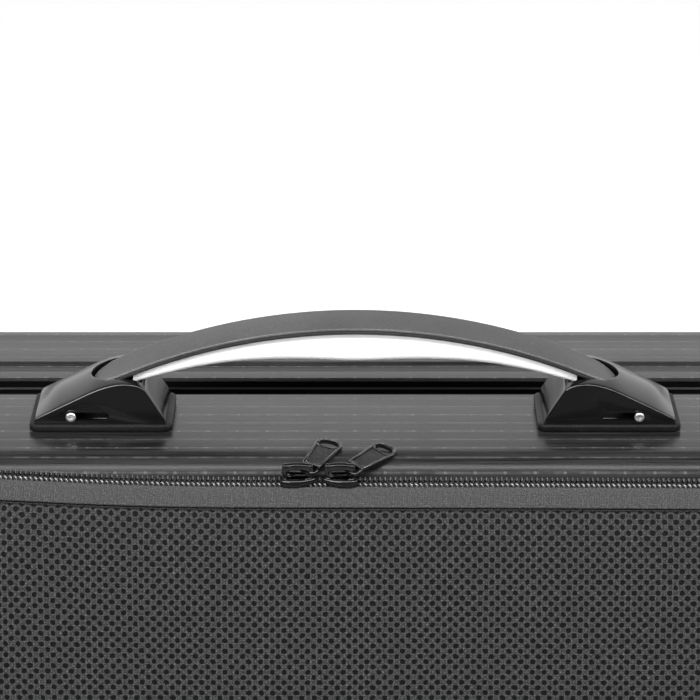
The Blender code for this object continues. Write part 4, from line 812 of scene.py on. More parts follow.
@dataclass(frozen=True)
class CaseOutline:
    """The rounded outline that shells, rims, liner and pocket share."""

    length: float = 790 * MM
    height: float = 255 * MM
    bottom: float = 6 * MM
    corner: float = 45 * MM
    least_corner: float = 24 * MM
    corner_steps: int = 16

    @property
    def top(self) -> float:
        """Height of the handle side."""
        return self.bottom + self.height

    @property
    def middle(self) -> float:
        """Height of the middle."""
        return self.bottom + self.height / 2

    def points(self, inset: float, spans: tuple[int, int] = (1, 1)) -> list[tuple[float, float, float, float]]:
        """Points round the outline, with the outward direction at each.

        Args:
            inset: How far the outline is drawn in.
            spans: How many parts the long and the short sides have.

        Returns:
            x, z, and the outward direction's two parts.
        """
        radius = max(self.corner - inset, self.least_corner)
        half_x, half_z = self.length / 2 - inset, self.height / 2 - inset
        result = []
        for corner, (sign_x, sign_z) in enumerate(((1, 1), (-1, 1), (-1, -1), (1, -1))):
            centre = (sign_x * (half_x - radius), self.middle + sign_z * (half_z - radius))
            start = corner * math.pi / 2
            for step in range(self.corner_steps + 1):
                turn = start + step / self.corner_steps * math.pi / 2
                out = (math.cos(turn), math.sin(turn))
                result.append((centre[0] + radius * out[0], centre[1] + radius * out[1], *out))
            count = spans[corner % 2]
            last = result[-1]
            next_sign = ((-1, 1), (-1, -1), (1, -1), (1, 1))[corner]
            following = (next_sign[0] * (half_x - (0 if corner % 2 else radius)),
                         self.middle + next_sign[1] * (half_z - (radius if corner % 2 else 0)))
            for step in range(1, count):
                share = step / count
                result.append((last[0] + (following[0] - last[0]) * share,
                               last[1] + (following[1] - last[1]) * share, last[2], last[3]))
        return result

    def ring(self, inset: float, y: float) -> list[Vector]:
        """The outline at one depth."""
        return slice_at([place[:2] for place in self.points(inset)], "Y", y)


OUTLINE = CaseOutline()


@dataclass(frozen=True)
class Depths:
    """Places across the case, from the pocket to the lid's face."""

    face: float = -48.6 * MM
    rim: float = 1.4 * MM
    lid: float = 13.6 * MM
    back: float = 70.6 * MM
    handle: float = -15.6 * MM
    liner: float = -1.6 * MM
    lid_floor: float = 61.3 * MM


AT = Depths()


# --- shells, rims and seal


@dataclass
class Shells:
    """The two moulded halves, the profiles of the seam, and the seal."""

    wall: float = 3 * MM
    back_radius: float = 7 * MM
    lid_radius: float = 20 * MM
    edge_steps: int = 18
    lid_side: Section = ((0.25, 15.6), (-0.05, 14.9), (-0.12, 14.5), (0.1, 14.0), (0.5, 13.6), (0.65, 13.1),
                         (0.8, 10.2), (0.78, 9.7), (0.7, 9.2), (-0.15, 1.0), (-0.12, 0.5), (0.0, 0.2))
    rim_round: float = 0.45 * MM
    rim_fall: float = 0.25 * MM
    back_rim: Pair = (0.3 * MM, 4.5 * MM)
    lid_rim: Pair = (5.3 * MM, 11.9 * MM)
    lip_reach: float = 8 * MM
    held_lip: float = 0.5 * MM

    def edge(self, radius: float, start: float) -> list[Pair]:
        """Inset and depth along a quarter round."""
        turns = [step / self.edge_steps * math.pi / 2 for step in range(self.edge_steps + 1)]
        return [(start + radius * (1 - math.sin(turn)), start + radius * (1 - math.cos(turn))) for turn in turns]

    def half(self, name: str, face: float, rim: float, radius: float, side: list[Pair]) -> Piece:
        """One shell, from its face over the round edge to the rim, and back inside."""
        inward = 1 if rim > face else -1
        outer = [(inset, face + inward * depth) for inset, depth in self.edge(radius, 0)]
        inner = [(inset, face + inward * depth) for inset, depth in self.edge(radius - self.wall, self.wall)]
        lip = self.held_lip
        held = [(0, rim - inward * lip), (0.15 * lip, rim - inward * 0.3 * lip), (lip, rim)]
        flat = [(outer[0][0] + 6 * MM, face)]
        profile = flat + outer + side + held + [(self.wall, rim)] + inner[::-1] + [(flat[0][0], inner[0][1])]
        return smooth(loft(name, [OUTLINE.ring(inset, y) for inset, y in profile]), 30)

    def build(self) -> None:
        """Make both shells, both rims and dress the seal."""
        back = self.half("back_shell_skin", AT.face, AT.rim, self.back_radius, [])
        DRESS.wear(back, LAMINATE_BACK, "back", ["back_shell"])
        side = [(inset * MM, AT.lid + depth * MM) for inset, depth in self.lid_side]
        lid = self.half("lid_shell_skin", AT.back, AT.lid, self.lid_radius, side)
        DRESS.wear(lid, LAMINATE_LID, "lid", ["lid_shell"])

        for body, span, lips in (("back", self.back_rim, (AT.rim - self.lip_reach, "low")),
                                 ("lid", self.lid_rim, (AT.lid + self.lip_reach, "high"))):
            low, high = (AT.rim + depth for depth in span)
            DRESS.wear(self.rim(body + "_rim_profile", low, high, *lips), RIM, body, [body + "_rim"])
        DRESS.keep("rim_seal", SEAL)

    def rim(self, name: str, low: float, high: float, reach: float, lip_side: str) -> Piece:
        """A profile that is highest at the seam, with rounded edges and a lip inside its shell."""
        outside, lip, thick, shelf = 0.2 * MM, 3.3 * MM, 1.5 * MM, 6.8 * MM
        r, fall = self.rim_round, self.rim_fall
        turns = np.linspace(0, math.pi / 2, 6)
        first, second = (outside + fall, outside) if lip_side == "low" else (outside, outside + fall)
        near = [(first + r * (1 - math.sin(turn)), low + r * (1 - math.cos(turn))) for turn in turns]
        far = [(second + r * (1 - math.cos(turn)), high - r * (1 - math.sin(turn))) for turn in turns]
        if lip_side == "low":
            inside = [(shelf, high), (shelf, low), (lip + thick, reach), (lip, reach), (lip, low)]
        else:
            seat = low + 3 * MM
            inside = [(lip, high), (lip, reach), (lip + thick, reach), (shelf, high), (shelf, seat),
                      (lip, seat), (lip, low)]
        profile = near + far + inside
        return smooth(loft(name, [OUTLINE.ring(inset, y) for inset, y in profile], closed=True), 50)


# --- handle


@dataclass
class Handle:
    """The soft-touch strap with its silver bar, the two brackets they slide in, and the pins."""

    height: float = 28.7 * MM
    bow_radius: float = 163 * MM
    half_length: float = 72.7 * MM
    width: float = 16.4 * MM
    thickness: float = 1.7 * MM
    crown: float = 0.4 * MM
    bar_half_length: float = 61.5 * MM
    bar_width: float = 13.4 * MM
    bar_thin: float = 2.7 * MM
    bar_thick: float = 8.5 * MM
    bar_belly: float = 8 * MM
    bar_corner: float = 2.2 * MM
    bar_gap: float = 0.25 * MM
    pin_distance: float = 78.6 * MM
    pin_height: float = 4.45 * MM
    eye_radius: float = 1.9 * MM
    arm_width: float = 10 * MM
    arm_inner: float = 64 * MM
    arm_outer: float = 71 * MM
    grooves: int = 3
    groove_half: float = 0.35 * MM
    groove_span: Pair = (10 * MM, 19 * MM)
    bracket_distance: float = 70.5 * MM
    gasket: Pair = (39.6 * MM, 26.4 * MM)
    housing: Triple = (37.2 * MM, 24.4 * MM, 11.4 * MM)
    housing_crown: float = 1.8 * MM
    crown_shares: tuple[tuple[float, ...], tuple[float, ...]] = (
        (0.0, 0.02, 0.14, 0.45, 0.66, 0.9, 1.0), (0.0, 0.1, 1.0, 1.0, 0.45, 0.3, 0.0))
    sunk: float = 1.3 * MM
    slot_more: float = 0.7 * MM
    base: float = 2.5 * MM
    wall: float = 1.8 * MM
    top_wall: float = 1.6 * MM
    travel: float = 8.7 * MM
    head: Pair = (1.38 * MM, 0.8 * MM)
    shank: float = 0.9 * MM
    hexagon: float = 0.56
    welt_radius: float = 0.16 * MM
    cavity: Pair = (7.4 * MM, 59 * MM)
    mouth_end: float = 73.6 * MM
    mouth_corner: float = 9 * MM
    slot_radius: float = 1.15 * MM
    outline: Section = (
        (0.0, 0.0), (0.012, 0.11), (0.24, 0.475), (0.455, 0.816), (0.578, 0.956),
        (0.667, 1.0), (0.764, 0.97), (0.821, 0.886), (0.854, 0.76), (1.0, 0.0))

    def rise(self, distance: float) -> float:
        """Height of the strap's top at a distance from the middle."""
        return OUTLINE.top + self.height - self.bow_radius + math.sqrt(self.bow_radius ** 2 - distance ** 2)

    def half_width(self, distance: float) -> float:
        """Half the strap's width, drawn in to its round ends."""
        half = self.width / 2
        past = abs(distance) - (self.half_length - half)
        return half if past <= 0 else math.sqrt(max(half ** 2 - past ** 2, (0.5 * MM) ** 2))

    def stations(self, turns: Iterable[float]) -> list[float]:
        """Places along the strap, from end to end, with the given turns round each end."""
        straight = self.half_length - self.width / 2
        right = list(np.linspace(0, straight, 24)) + [straight + self.width / 2 * math.sin(turn) for turn in turns]
        return [-value for value in reversed(right)] + right[1:]

    def strap(self, name: str, over: float, under: float, inset: float) -> Piece:
        """A band over both halves, with rounded edges.

        Args:
            name: The piece's name.
            over: Its upper side, down from the strap's top.
            under: Its lower side, down from the strap's top.
            inset: How far its edges are drawn in.

        Returns:
            The piece.
        """
        rings = []
        for distance in self.stations(np.linspace(0, math.pi / 2, 14)[1:]):
            half = max(self.half_width(distance) - inset, 0.4 * MM)
            edge = min((under - over) * 0.6, half / 3)
            top, low = self.rise(distance) - over, self.rise(distance) - under
            section = []
            for share in np.linspace(-1, 1, 11):
                reach = (half - edge) * share
                section.append((reach, top + self.crown * (1 - share ** 2) * half * 2 / self.width))
            for turn in np.linspace(0, math.pi / 2, 5)[1:]:
                section.append((half - edge + edge * math.sin(turn), top - edge + edge * math.cos(turn)))
            section += [(half - 0.1 * MM, low), (-half + 0.1 * MM, low)]
            for turn in np.linspace(math.pi / 2, 0, 5)[:-1]:
                section.append((-half + edge - edge * math.sin(turn), top - edge + edge * math.cos(turn)))
            rings.append([Vector((distance, AT.handle + y, z)) for y, z in section])
        return loft(name, rings)

    def welt(self) -> Piece:
        """The fine raised line round the strap's upper edge, coloured lighter than the strap as a painted highlight.
        """
        stations = self.stations(np.linspace(0, math.pi / 2, 12)[1:-1])
        path = []
        for sign, run in ((-1, stations), (1, reversed(stations))):
            path += [Vector((x, AT.handle + sign * (self.half_width(x) - 0.3 * MM), self.rise(x) - self.welt_radius))
                     for x in run]
        return sweep("strap_welt", path, circle((0, 0), self.welt_radius, 10), closed=True)

    def arm(self, side: Side) -> Piece:
        """The root of the strap, from its underside through the mouth to the eye on the pin."""
        under = self.thickness * 0.6
        points = [
            (self.pin_distance, self.pin_height + self.eye_radius),
            (self.pin_distance, self.pin_height - self.eye_radius),
            (self.pin_distance - 4.6 * MM, self.pin_height - self.eye_radius * 0.5),
            (self.arm_inner + 2.4 * MM, (self.pin_height + self.rise(self.arm_inner) - OUTLINE.top) / 2),
            (self.arm_inner, self.rise(self.arm_inner) - OUTLINE.top - under),
            (self.arm_outer, self.rise(self.arm_outer) - OUTLINE.top - under),
            (self.arm_outer + 1.2 * MM, (self.pin_height + self.eye_radius + self.height * 0.42) / 2)]
        outline = [(side.value * a, OUTLINE.top + b) for a, b in points]
        near, far = AT.handle - self.arm_width / 2, AT.handle + self.arm_width / 2
        item = prism("strap_root_" + side.word, outline, "Y", near, far)
        eye = circle((side.value * self.pin_distance, OUTLINE.top + self.pin_height), self.eye_radius)
        combine(item, prism("tool", eye, "Y", near, far), "UNION")
        start, end = (OUTLINE.top + height for height in self.groove_span)
        for step in range(self.grooves):
            groove = near + self.arm_width * (step + 0.5) / self.grooves
            x = side.value * (self.arm_inner - 0.2 * MM)
            low, high = sorted((x, x + side.value * 0.5 * MM))
            combine(item, block("tool", (low, groove - self.groove_half, start),
                                (high, groove + self.groove_half, end)))
        return smooth(soften(item, 0.25 * MM, 2, 50))

    def bar_depth(self, distance: float) -> float:
        """Thickness of the silver bar at a distance from the middle."""
        def past(value: float) -> float:
            return math.hypot(value, self.bar_belly) - self.bar_belly
        share = max(0.0, 1 - past(distance) / past(self.bar_half_length))
        return self.bar_thin + (self.bar_thick - self.bar_thin) * share ** 1.2

    def bar(self) -> Piece:
        """The silver bar under the strap: flat on top, with a rounded belly."""
        rings = []
        half = self.bar_width / 2
        for distance in np.linspace(-self.bar_half_length, self.bar_half_length, 61):
            thick = self.bar_depth(abs(distance))
            top = self.rise(distance) - self.thickness - self.bar_gap
            corner = min(self.bar_corner, thick * 0.45)
            section = [(-half, top), (half, top)]
            section += [(half - corner + corner * math.cos(turn), top - thick + corner - corner * math.sin(turn))
                        for turn in np.linspace(0, math.pi / 2, 6)]
            section += [(-half + corner - corner * math.sin(turn), top - thick + corner - corner * math.cos(turn))
                        for turn in np.linspace(0, math.pi / 2, 6)]
            rings.append([Vector((distance, AT.handle + y, z)) for y, z in section])
        return loft("handle_bar", rings)

    def bracket(self, side: Side) -> Piece:
        """The housing: sloped top, round edges, a mouth for the strap and a slot in each wall."""
        length, depth, rise = self.housing
        outer = self.bracket_distance + length / 2
        base = OUTLINE.top + self.base
        slope = eased(self.outline[1:], 5)
        profile = [self.outline[0]] + slope
        half = depth / 2
        rings = []
        for share in np.linspace(-1, 1, 17):
            ring = []
            for along, up in profile:
                swell = self.housing_crown * (1 - share ** 2) * np.interp(along, *self.crown_shares)
                ring.append(Vector((side.value * (outer - along * length), AT.handle + share * half,
                                    base + (up * rise + swell if up > 0 else -self.sunk))))
            rings.append(ring)
        item = soften(loft("bracket_housing_" + side.word, rings), 1.5 * MM, 6, 50)

        start, end = outer - self.cavity[0], self.cavity[1]
        ceiling = [(distance, base + self.height_at(distance) - self.top_wall)
                   for distance in np.linspace(start, end, 12)]
        inside = [(start, base - 2 * MM), *ceiling, (end, base - 2 * MM)]
        inner = half - self.wall
        combine(item, prism("tool", [(side.value * a, b) for a, b in inside], "Y",
                            AT.handle - inner, AT.handle + inner))
        corner = self.mouth_corner
        middle = (self.mouth_end - corner, 0)
        mouth = [(end, -corner)] + arc(middle, corner, -math.pi / 2, math.pi / 2, 20) + [(end, corner)]
        combine(item, prism("tool", [(side.value * a, AT.handle + b) for a, b in mouth], "Z",
                            base + self.top_wall, base + rise + 2 * MM))
        radius = self.slot_radius
        ends = sorted((side.value * self.pin_distance,
                       side.value * (self.pin_distance - self.travel - self.slot_more)))
        z = OUTLINE.top + self.pin_height
        slot = (arc((ends[1], z), radius, -math.pi / 2, math.pi / 2, 10)
                + arc((ends[0], z), radius, math.pi / 2, math.pi * 3 / 2, 10))
        combine(item, prism("tool", slot, "Y", AT.handle - half - MM, AT.handle + half + MM))
        return smooth(soften(item, 0.16 * MM, 2, 55), 32)

    def height_at(self, distance: float) -> float:
        """Height of the housing's top over its base."""
        length, _, rise = self.housing
        along = (self.bracket_distance + length / 2 - distance) / length
        for (start, low), (end, high) in zip(self.outline, self.outline[1:]):
            if along <= end:
                return rise * (low + (high - low) * (along - start) / (end - start))
        return 0.0

    def seat(self, side: Side) -> Piece:
        """The gasket, with a thin lip round its upper edge."""
        centre = (side.value * self.bracket_distance, AT.handle)
        low = OUTLINE.top + 0.3 * MM
        rings = []
        for inset, height in ((0.1, 0), (0, 0.15), (0, 1.5), (0.1, 1.75), (0.35, 1.88), (0.9, 1.9)):
            outline = rounded(self.gasket[0] / 2 - inset * MM, self.gasket[1] / 2 - inset * MM, 2.5 * MM, 8, centre)
            rings.append(slice_at(outline, "Z", low + height * MM))
        return smooth(loft("gasket_pad_" + side.word, rings), 50)

    def pin(self, side: Side) -> Piece:
        """The pin, with a domed screw head and a hexagon recess at each end."""
        radius, thick = self.head
        reach = self.housing[1] / 2 + 0.3 * MM
        centre = (side.value * self.pin_distance, OUTLINE.top + self.pin_height)
        item = prism("slide_screw_" + side.word, circle(centre, self.shank, 24), "Y",
                     AT.handle - reach - 0.2 * MM, AT.handle + reach + 0.2 * MM)
        for sign in (-1, 1):
            near = AT.handle + sign * reach
            rings = [slice_at(circle(centre, radius * share), "Y", near + sign * depth * thick)
                     for depth, share in ((0, 0.96), (0.1, 1.0), (0.55, 1.0), (0.8, 0.9), (0.95, 0.74), (1.0, 0.5))]
            combine(item, loft("tool", rings), "UNION")
            recess = circle(centre, radius * self.hexagon, 6)
            combine(item, prism("tool", recess, "Y", near - sign * 0.3 * thick, near + sign * 2 * thick))
        return smooth(soften(item, 0.05 * MM, 2, 40), 30)

    def build(self) -> None:
        """Make the handle and dress it."""
        strap = smooth(self.strap("handle_strap", 0.0, 0.62 * MM, 0.0), 60)
        DRESS.coat(strap, SOFT_TOUCH)
        # The layer under the skin shows as the strap's side; it wears a darker copy of the soft touch as painted
        # shade.
        core = smooth(self.strap("handle_core", 0.66 * MM, self.thickness, 0.12 * MM), 60)
        DRESS.coat(core, SHADED_SOFT_TOUCH)
        bar = smooth(self.bar(), 50)
        DRESS.coat(bar, SILVER)
        welt = smooth(self.welt(), ROUND)
        DRESS.coat(welt, WELT_HIGHLIGHT)
        for item, nodes in ((strap, ("grip_left", "grip_right")), (core, ()), (welt, ()),
                            (bar, ("bar_left", "bar_right"))):
            DRESS.stand_for(item, nodes)
            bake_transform(item)
        for side, swing in ((Side.LEFT, "handle_left"), (Side.RIGHT, "handle_right")):
            word = side.word
            # The roots wear the same darker copy: painted shade where they run under the strap and into the brackets.
            DRESS.wear(self.arm(side), SHADED_SOFT_TOUCH, swing)
            DRESS.wear(self.bracket(side), BRACKET, "back", ["bracket_" + word])
            DRESS.wear(self.seat(side), RUBBER, "back", ["gasket_" + word])
            DRESS.wear(self.pin(side), PIN, "left_slider" if side is Side.LEFT else "handle_right",
                       ["slide_pin_" + word])
            DRESS.keep("backing_plate_" + word, STEEL)


# --- outer pocket and its zip


def run_lengths(points: Section) -> list[float]:
    """The way along a line of points, at each of them."""
    runs = [0.0]
    for (a, b), (c, d) in zip(points, points[1:]):
        runs.append(runs[-1] + math.hypot(c - a, d - b))
    return runs


def lift(x: float) -> float:
    """How far the pocket's upper edge rises in its slow wave, at a place along the case."""
    swell = 2.9 * MM * math.exp(-((x + 118 * MM) / (46 * MM)) ** 2)
    dip = -0.5 * MM * math.exp(-((x - 120 * MM) / (60 * MM)) ** 2)
    return swell + dip


@dataclass(frozen=True)
class ZipPlane:
    """The tilted strip along the pocket's upper edge that the zip lies in."""

    tilt: float = math.atan2(1.5, 5.8)
    y: float = AT.face - 3.0 * MM
    z: float = 255.05 * MM

    def at(self, x: float, across: float, over: float, wave: bool = True) -> Triple:
        """A point from its place along, across and over the zip."""
        rise = lift(x) if wave else 0.0
        return (x, self.y + across * math.cos(self.tilt) - over * math.sin(self.tilt),
                self.z + rise + across * math.sin(self.tilt) + over * math.cos(self.tilt))


ZIP = ZipPlane()


@dataclass
class Pocket:
    """The outer pocket: gusset, woven band, mesh panel, and the seams between them."""

    fabric: float = 1.4 * MM
    panel_width: float = 82 * MM
    panel_start: float = 10.4 * MM
    panel_rise: float = 10.3 * MM
    depth: float = 22 * MM
    shares: Section = ((0.0, 0.0), (0.05, 0.2), (0.13, 0.4), (0.26, 0.6), (0.45, 0.8), (0.68, 0.94), (1.0, 1.0))
    spans: tuple[int, int] = (140, 36)
    gap: float = 329 * MM
    hollow: float = 0.5 * MM
    tuck: Pair = (0.15 * MM, 1.1 * MM)

    def strip(self, name: str, profile: Section, waves: Sequence[float],
              thickness: float, gap: float = 0.0) -> Piece:
        """A cloth strip round the pocket.

        Args:
            name: The piece's name.
            profile: Inset and rise over the shell's face, from edge to edge.
            waves: How much of the upper edge's wave each line of the profile takes.
            thickness: The cloth's thickness.
            gap: Half the length that is left out of the upper side, where the zip's tape lies.

        Returns:
            The piece.
        """
        rings, flats = [], []
        for (inset, rise), share, run in zip(profile, waves, run_lengths(profile)):
            places = OUTLINE.points(inset, self.spans)
            rings.append([Vector((x, AT.face - rise, z + lift(x) * share * max(out_z, 0.0) ** 4))
                          for x, z, _, out_z in places])
            flats.append([(girth, run) for girth in run_lengths([place[:2] for place in places])])
        item = loft(name, rings, capped=False, flats=flats)
        if gap:
            with edited(item) as mesh:
                middles = [(face, face.calc_center_median()) for face in mesh.faces]
                gone = [face for face, middle in middles if abs(middle.x) < gap and middle.z > OUTLINE.middle]
                bmesh.ops.delete(mesh, geom=gone, context="FACES")
        return thicken(item, thickness)

    def panel(self) -> Piece:
        """The mesh panel: pulled in at its seam, full in the middle, with slow hollows."""
        curve = eased(self.shares, 6)
        bulge = self.depth - self.panel_rise - 0.1 * MM
        profile = [(self.panel_start + self.panel_width * a, self.panel_rise + bulge * b) for a, b in curve]
        profile = [(profile[0][0] + self.tuck[0], profile[0][1] - self.tuck[1])] + profile[1:]
        runs, width = run_lengths(profile), self.panel_width
        total = runs[-1]
        rings, flats = [], []
        for (inset, rise), run in zip(profile, runs):
            extra = (total - run) - (self.panel_start + width - inset)
            away = (inset - self.panel_start) / width
            ring, flat = [], []
            for x, z, out_x, out_z in OUTLINE.points(inset, self.spans):
                up = lift(x) * max(out_z, 0.0) ** 4 * (1 - away) ** 2
                hollow = self.hollow * away * (math.sin(x * 31 + 1.3) * math.sin(z * 43 + 0.4)
                                            + 0.5 * math.sin(x * 67 + z * 29))
                ring.append(Vector((x, AT.face - rise + 0.6 * MM * away + hollow, z + up)))
                flat.append((x + out_x * extra, z + out_z * extra))
            rings.append(ring)
            flats.append(flat)
        item = loft("pocket_mesh", rings, capped=False, flats=flats)
        with edited(item) as mesh:
            layer = mesh.loops.layers.uv["cloth"]
            edges = [edge for edge in mesh.edges if edge.is_boundary and all(
                vert.co.y < AT.face - self.depth * 0.8 for vert in edge.verts)]
            filled = bmesh.ops.triangle_fill(mesh, use_beauty=True, edges=edges)
            for face in (entry for entry in filled["geom"] if isinstance(entry, bmesh.types.BMFace)):
                for corner in face.loops:
                    corner[layer].uv = (corner.vert.co.x, corner.vert.co.z)
            bmesh.ops.recalc_face_normals(mesh, faces=mesh.faces)
        thicken(item, self.fabric)
        return item

    def seam(self, name: str, inset: float, rise: float, pitch: float, size: Pair) -> Piece:
        """A row of stitches round the pocket."""
        points = OUTLINE.points(inset, (1, 1))
        loop = points + points[:1]
        parts = []
        length, radius = size
        for (x0, z0, a0, b0), (x1, z1, a1, b1) in zip(loop, loop[1:]):
            gap = math.hypot(x1 - x0, z1 - z0)
            count = max(1, round(gap / pitch))
            for step in range(count):
                share = (step + 0.5) / count
                along = Vector((x1 - x0, z1 - z0)).normalized() * (length / 2)
                x, z = x0 + (x1 - x0) * share, z0 + (z1 - z0) * share
                up = lift(x) * max(b0 + (b1 - b0) * share, 0.0) ** 4
                y = AT.face - rise
                path = [(x - along.x, y + 0.25 * radius, z - along.y + up), (x, y - 0.5 * radius, z + up),
                        (x + along.x, y + 0.25 * radius, z + along.y + up)]
                parts.append(worm(path, (radius * 0.7, radius, radius * 0.7), 6))
        return smooth(gather(name, parts), 60)

    def build(self) -> None:
        """Make the cloth parts and dress them."""
        gusset = self.strip("pocket_gusset_cloth", [(5.2 * MM, 0.3 * MM), (5.5 * MM, 1.6 * MM), (6.2 * MM, 4.0 * MM),
                                                    (6.7 * MM, 5.9 * MM)], (0.0, 0.2, 0.5, 0.8), 0.6 * MM,
                            self.gap)
        DRESS.wear(gusset, TAPE_CLOTH, "back", ["pocket_gusset"])
        band = self.strip("pocket_band_cloth", [(6.0 * MM, 5.0 * MM), (6.2 * MM, 5.7 * MM), (6.9 * MM, 7.3 * MM),
                                                (8.1 * MM, 8.6 * MM), (8.9 * MM, 9.5 * MM), (9.7 * MM, 10.1 * MM),
                                                (10.1 * MM, 9.9 * MM), (10.3 * MM, 9.1 * MM)], (1.0,) * 8, 0.9 * MM)
        DRESS.wear(band, BAND_CLOTH, "back", ["pocket_band"])
        DRESS.wear(self.panel(), MESH_CLOTH, "back", ["pocket_panel"])
        DRESS.wear(self.seam("pocket_seam_stitches", 10.45 * MM, 10.2 * MM, 1.7 * MM, (1.35 * MM, 0.3 * MM)),
                   SEAM_THREAD, "back")


@dataclass
class Zip:
    """Woven tape, coil teeth with their stitching, and two sliders set head to head."""

    half_length: float = 329.5 * MM
    pitch: float = 1.37 * MM
    tape_thickness: float = 0.45 * MM
    meet: float = -9.8 * MM
    spacing: float = 11.4 * MM
    slider_length: float = 9.6 * MM
    body: Sequence[Triple] = (
        (-0.5, 1.7, 0.9), (-0.47, 2.2, 0.8), (-0.38, 2.6, 0.75), (-0.2, 2.75, 0.75), (0.0, 2.7, 0.8),
        (0.16, 2.45, 1.0), (0.3, 2.05, 1.2), (0.41, 1.5, 1.3), (0.48, 0.95, 1.35), (0.5, 0.7, 1.4))
    bridge: float = 4.9 * MM
    bridge_half: float = 0.75 * MM
    bridge_round: float = 0.45 * MM
    tab_near: float = 2.8 * MM
    tab_far: float = 3.8 * MM
    tab_start: float = 2.0 * MM
    tab_end: float = 15.6 * MM
    tab_corner: float = 2.5 * MM
    tab_round: float = 0.28 * MM
    tab_recess: float = 0.34 * MM
    tab_rail: float = 0.25 * MM
    tab_loop: float = 0.5 * MM
    tab_shift: float = 2.6 * MM
    tab_thickness: float = 1.1 * MM
    leans: Pair = (26.0, 45.0)

    def tape(self) -> Piece:
        """The tape, woven, with a bead along each edge."""
        rings, flats = [], []
        section = [(-2.95, -0.5), (-2.6, 0.12), (-2.2, -0.02), (-1.2, -0.08), (0.0, -0.12), (1.2, -0.08),
                   (2.2, -0.02), (2.6, 0.1), (2.95, -0.3)]
        for x in np.linspace(-self.half_length, self.half_length, 260):
            rings.append([Vector(ZIP.at(x, across * MM, over * MM)) for across, over in section])
            flats.append([(x, across * MM) for across, _ in section])
        item = loft("zip_tape_cloth", rings, capped=False, open_rings=True, flats=flats)
        return thicken(item, self.tape_thickness)

    def places(self) -> list[float]:
        """The places of the teeth along the zip."""
        count = int(2 * self.half_length / self.pitch)
        return [-self.half_length + (index + 0.5) * self.pitch for index in range(count)]

    def teeth(self, name: str, loops: Sequence[Triple], shift: float) -> Piece:
        """One row of the coil: a slanting bead at each pitch.

        Args:
            name: The piece's name.
            loops: Points along one bead: along, across and over the zip, in millimetres.
            shift: How far the row is moved along.

        Returns:
            The piece.
        """
        parts = []
        widths = np.interp(np.linspace(0, 1, len(loops)), (0, 0.3, 0.7, 1), (0.22, 0.3, 0.3, 0.22)) * MM
        for place in self.places():
            x = place + shift
            path = [ZIP.at(x - a * MM, b * MM, c * MM) for a, b, c in loops]
            parts.append(worm(path, widths.tolist(), 8))
        return smooth(gather(name, parts), 70)

    def stitches(self) -> Piece:
        """The rows of thread that hold the coil to the tape."""
        parts = []
        for x in self.places():
            for across, over, half in ((0.45, 1.2, 0.2), (1.0, 1.38, 0.24), (2.0, 0.5, 0.4)):
                path = [ZIP.at(x + a * MM, (across + b * half) * MM, (over + c) * MM)
                        for a, b, c in ((-0.12, -1.0, -0.1), (0.0, 0.0, 0.06), (0.12, 1.0, -0.24))]
                parts.append(worm(path, [value * MM for value in (0.16, 0.22, 0.16)], 6))
        return smooth(gather("zip_stitches", parts), 70)

    def settle(self, item: Piece, turn: float, place: Sequence[float]) -> Piece:
        """Turn a piece that is drawn at the origin about X, and put it at its place."""
        item.data.transform(Matrix.Translation(place) @ Matrix.Rotation(turn, 4, "X"))
        return item

    def slider(self, side: Side) -> Piece:
        """A slider: a body that narrows to its nose, and a tall arched bridge with horns."""
        rings = []
        for along, half, low in self.body:
            top = 2.75 - 0.12 * (2.75 - half)
            inner = max(half - 0.75, 0.25)
            ceiling = max(low + 0.2, 1.5)
            section = [(-half, low), (-half, top - 0.6), (-half + 0.18, top - 0.2), (-half + 0.55, top),
                       (0.0, top + 0.15), (half - 0.55, top), (half - 0.18, top - 0.2), (half, top - 0.6),
                       (half, low), (inner + 0.2, low - 0.02), (inner, ceiling), (0.0, ceiling + 0.03),
                       (-inner, ceiling), (-inner - 0.2, low - 0.02)]
            rings.append(slice_at([(a * MM, b * MM) for a, b in section], "X",
                                  -side.value * along * self.slider_length))
        item = smooth(loft("slider_" + side.word, rings), 40)
        half_arch = [(3.4, 2.2), (3.95, 3.0), (4.25, 4.0), (4.3, 5.1), (4.15, 6.0), (3.9, 6.55), (3.5, 6.78),
                     (3.1, 6.6), (2.4, 6.7), (1.5, 6.85), (0.6, 6.9)]
        arch = [(-a, b) for a, b in half_arch] + [(a, b) for a, b in reversed(half_arch)]
        bridge = prism("tool", [(a * MM, b * MM) for a, b in arch], "Y", -self.bridge_half,
                       self.bridge_half)
        hole = [(a * 3.0 * MM, (3.9 + b * 1.2) * MM) for a, b in
                ((math.cos(turn) * (1 - 0.1 * math.sin(turn) ** 2), math.sin(turn))
                 for turn in np.linspace(0, 2 * math.pi, 41)[:-1])]
        combine(bridge, prism("tool_hole", hole, "Y", -2 * MM, 2 * MM))
        soften(bridge, self.bridge_round, 4, 50)
        combine(item, bridge, "UNION")
        place = (self.meet + side.value * self.spacing / 2, ZIP.y, ZIP.z)
        return smooth(self.settle(item, ZIP.tilt, place), 40)

    def tab_tilt(self) -> float:
        """The slope at which a tab lies back over the shell's round edge."""
        radius = 7 * MM
        _, y, z = ZIP.at(0.0, 0.0, self.bridge, wave=False)
        away = Vector((AT.face + radius - y, OUTLINE.top - radius - z))
        clear = radius + 0.3 * MM + self.tab_thickness / 2
        return math.asin(clear / away.length) + math.atan2(away.y, away.x)

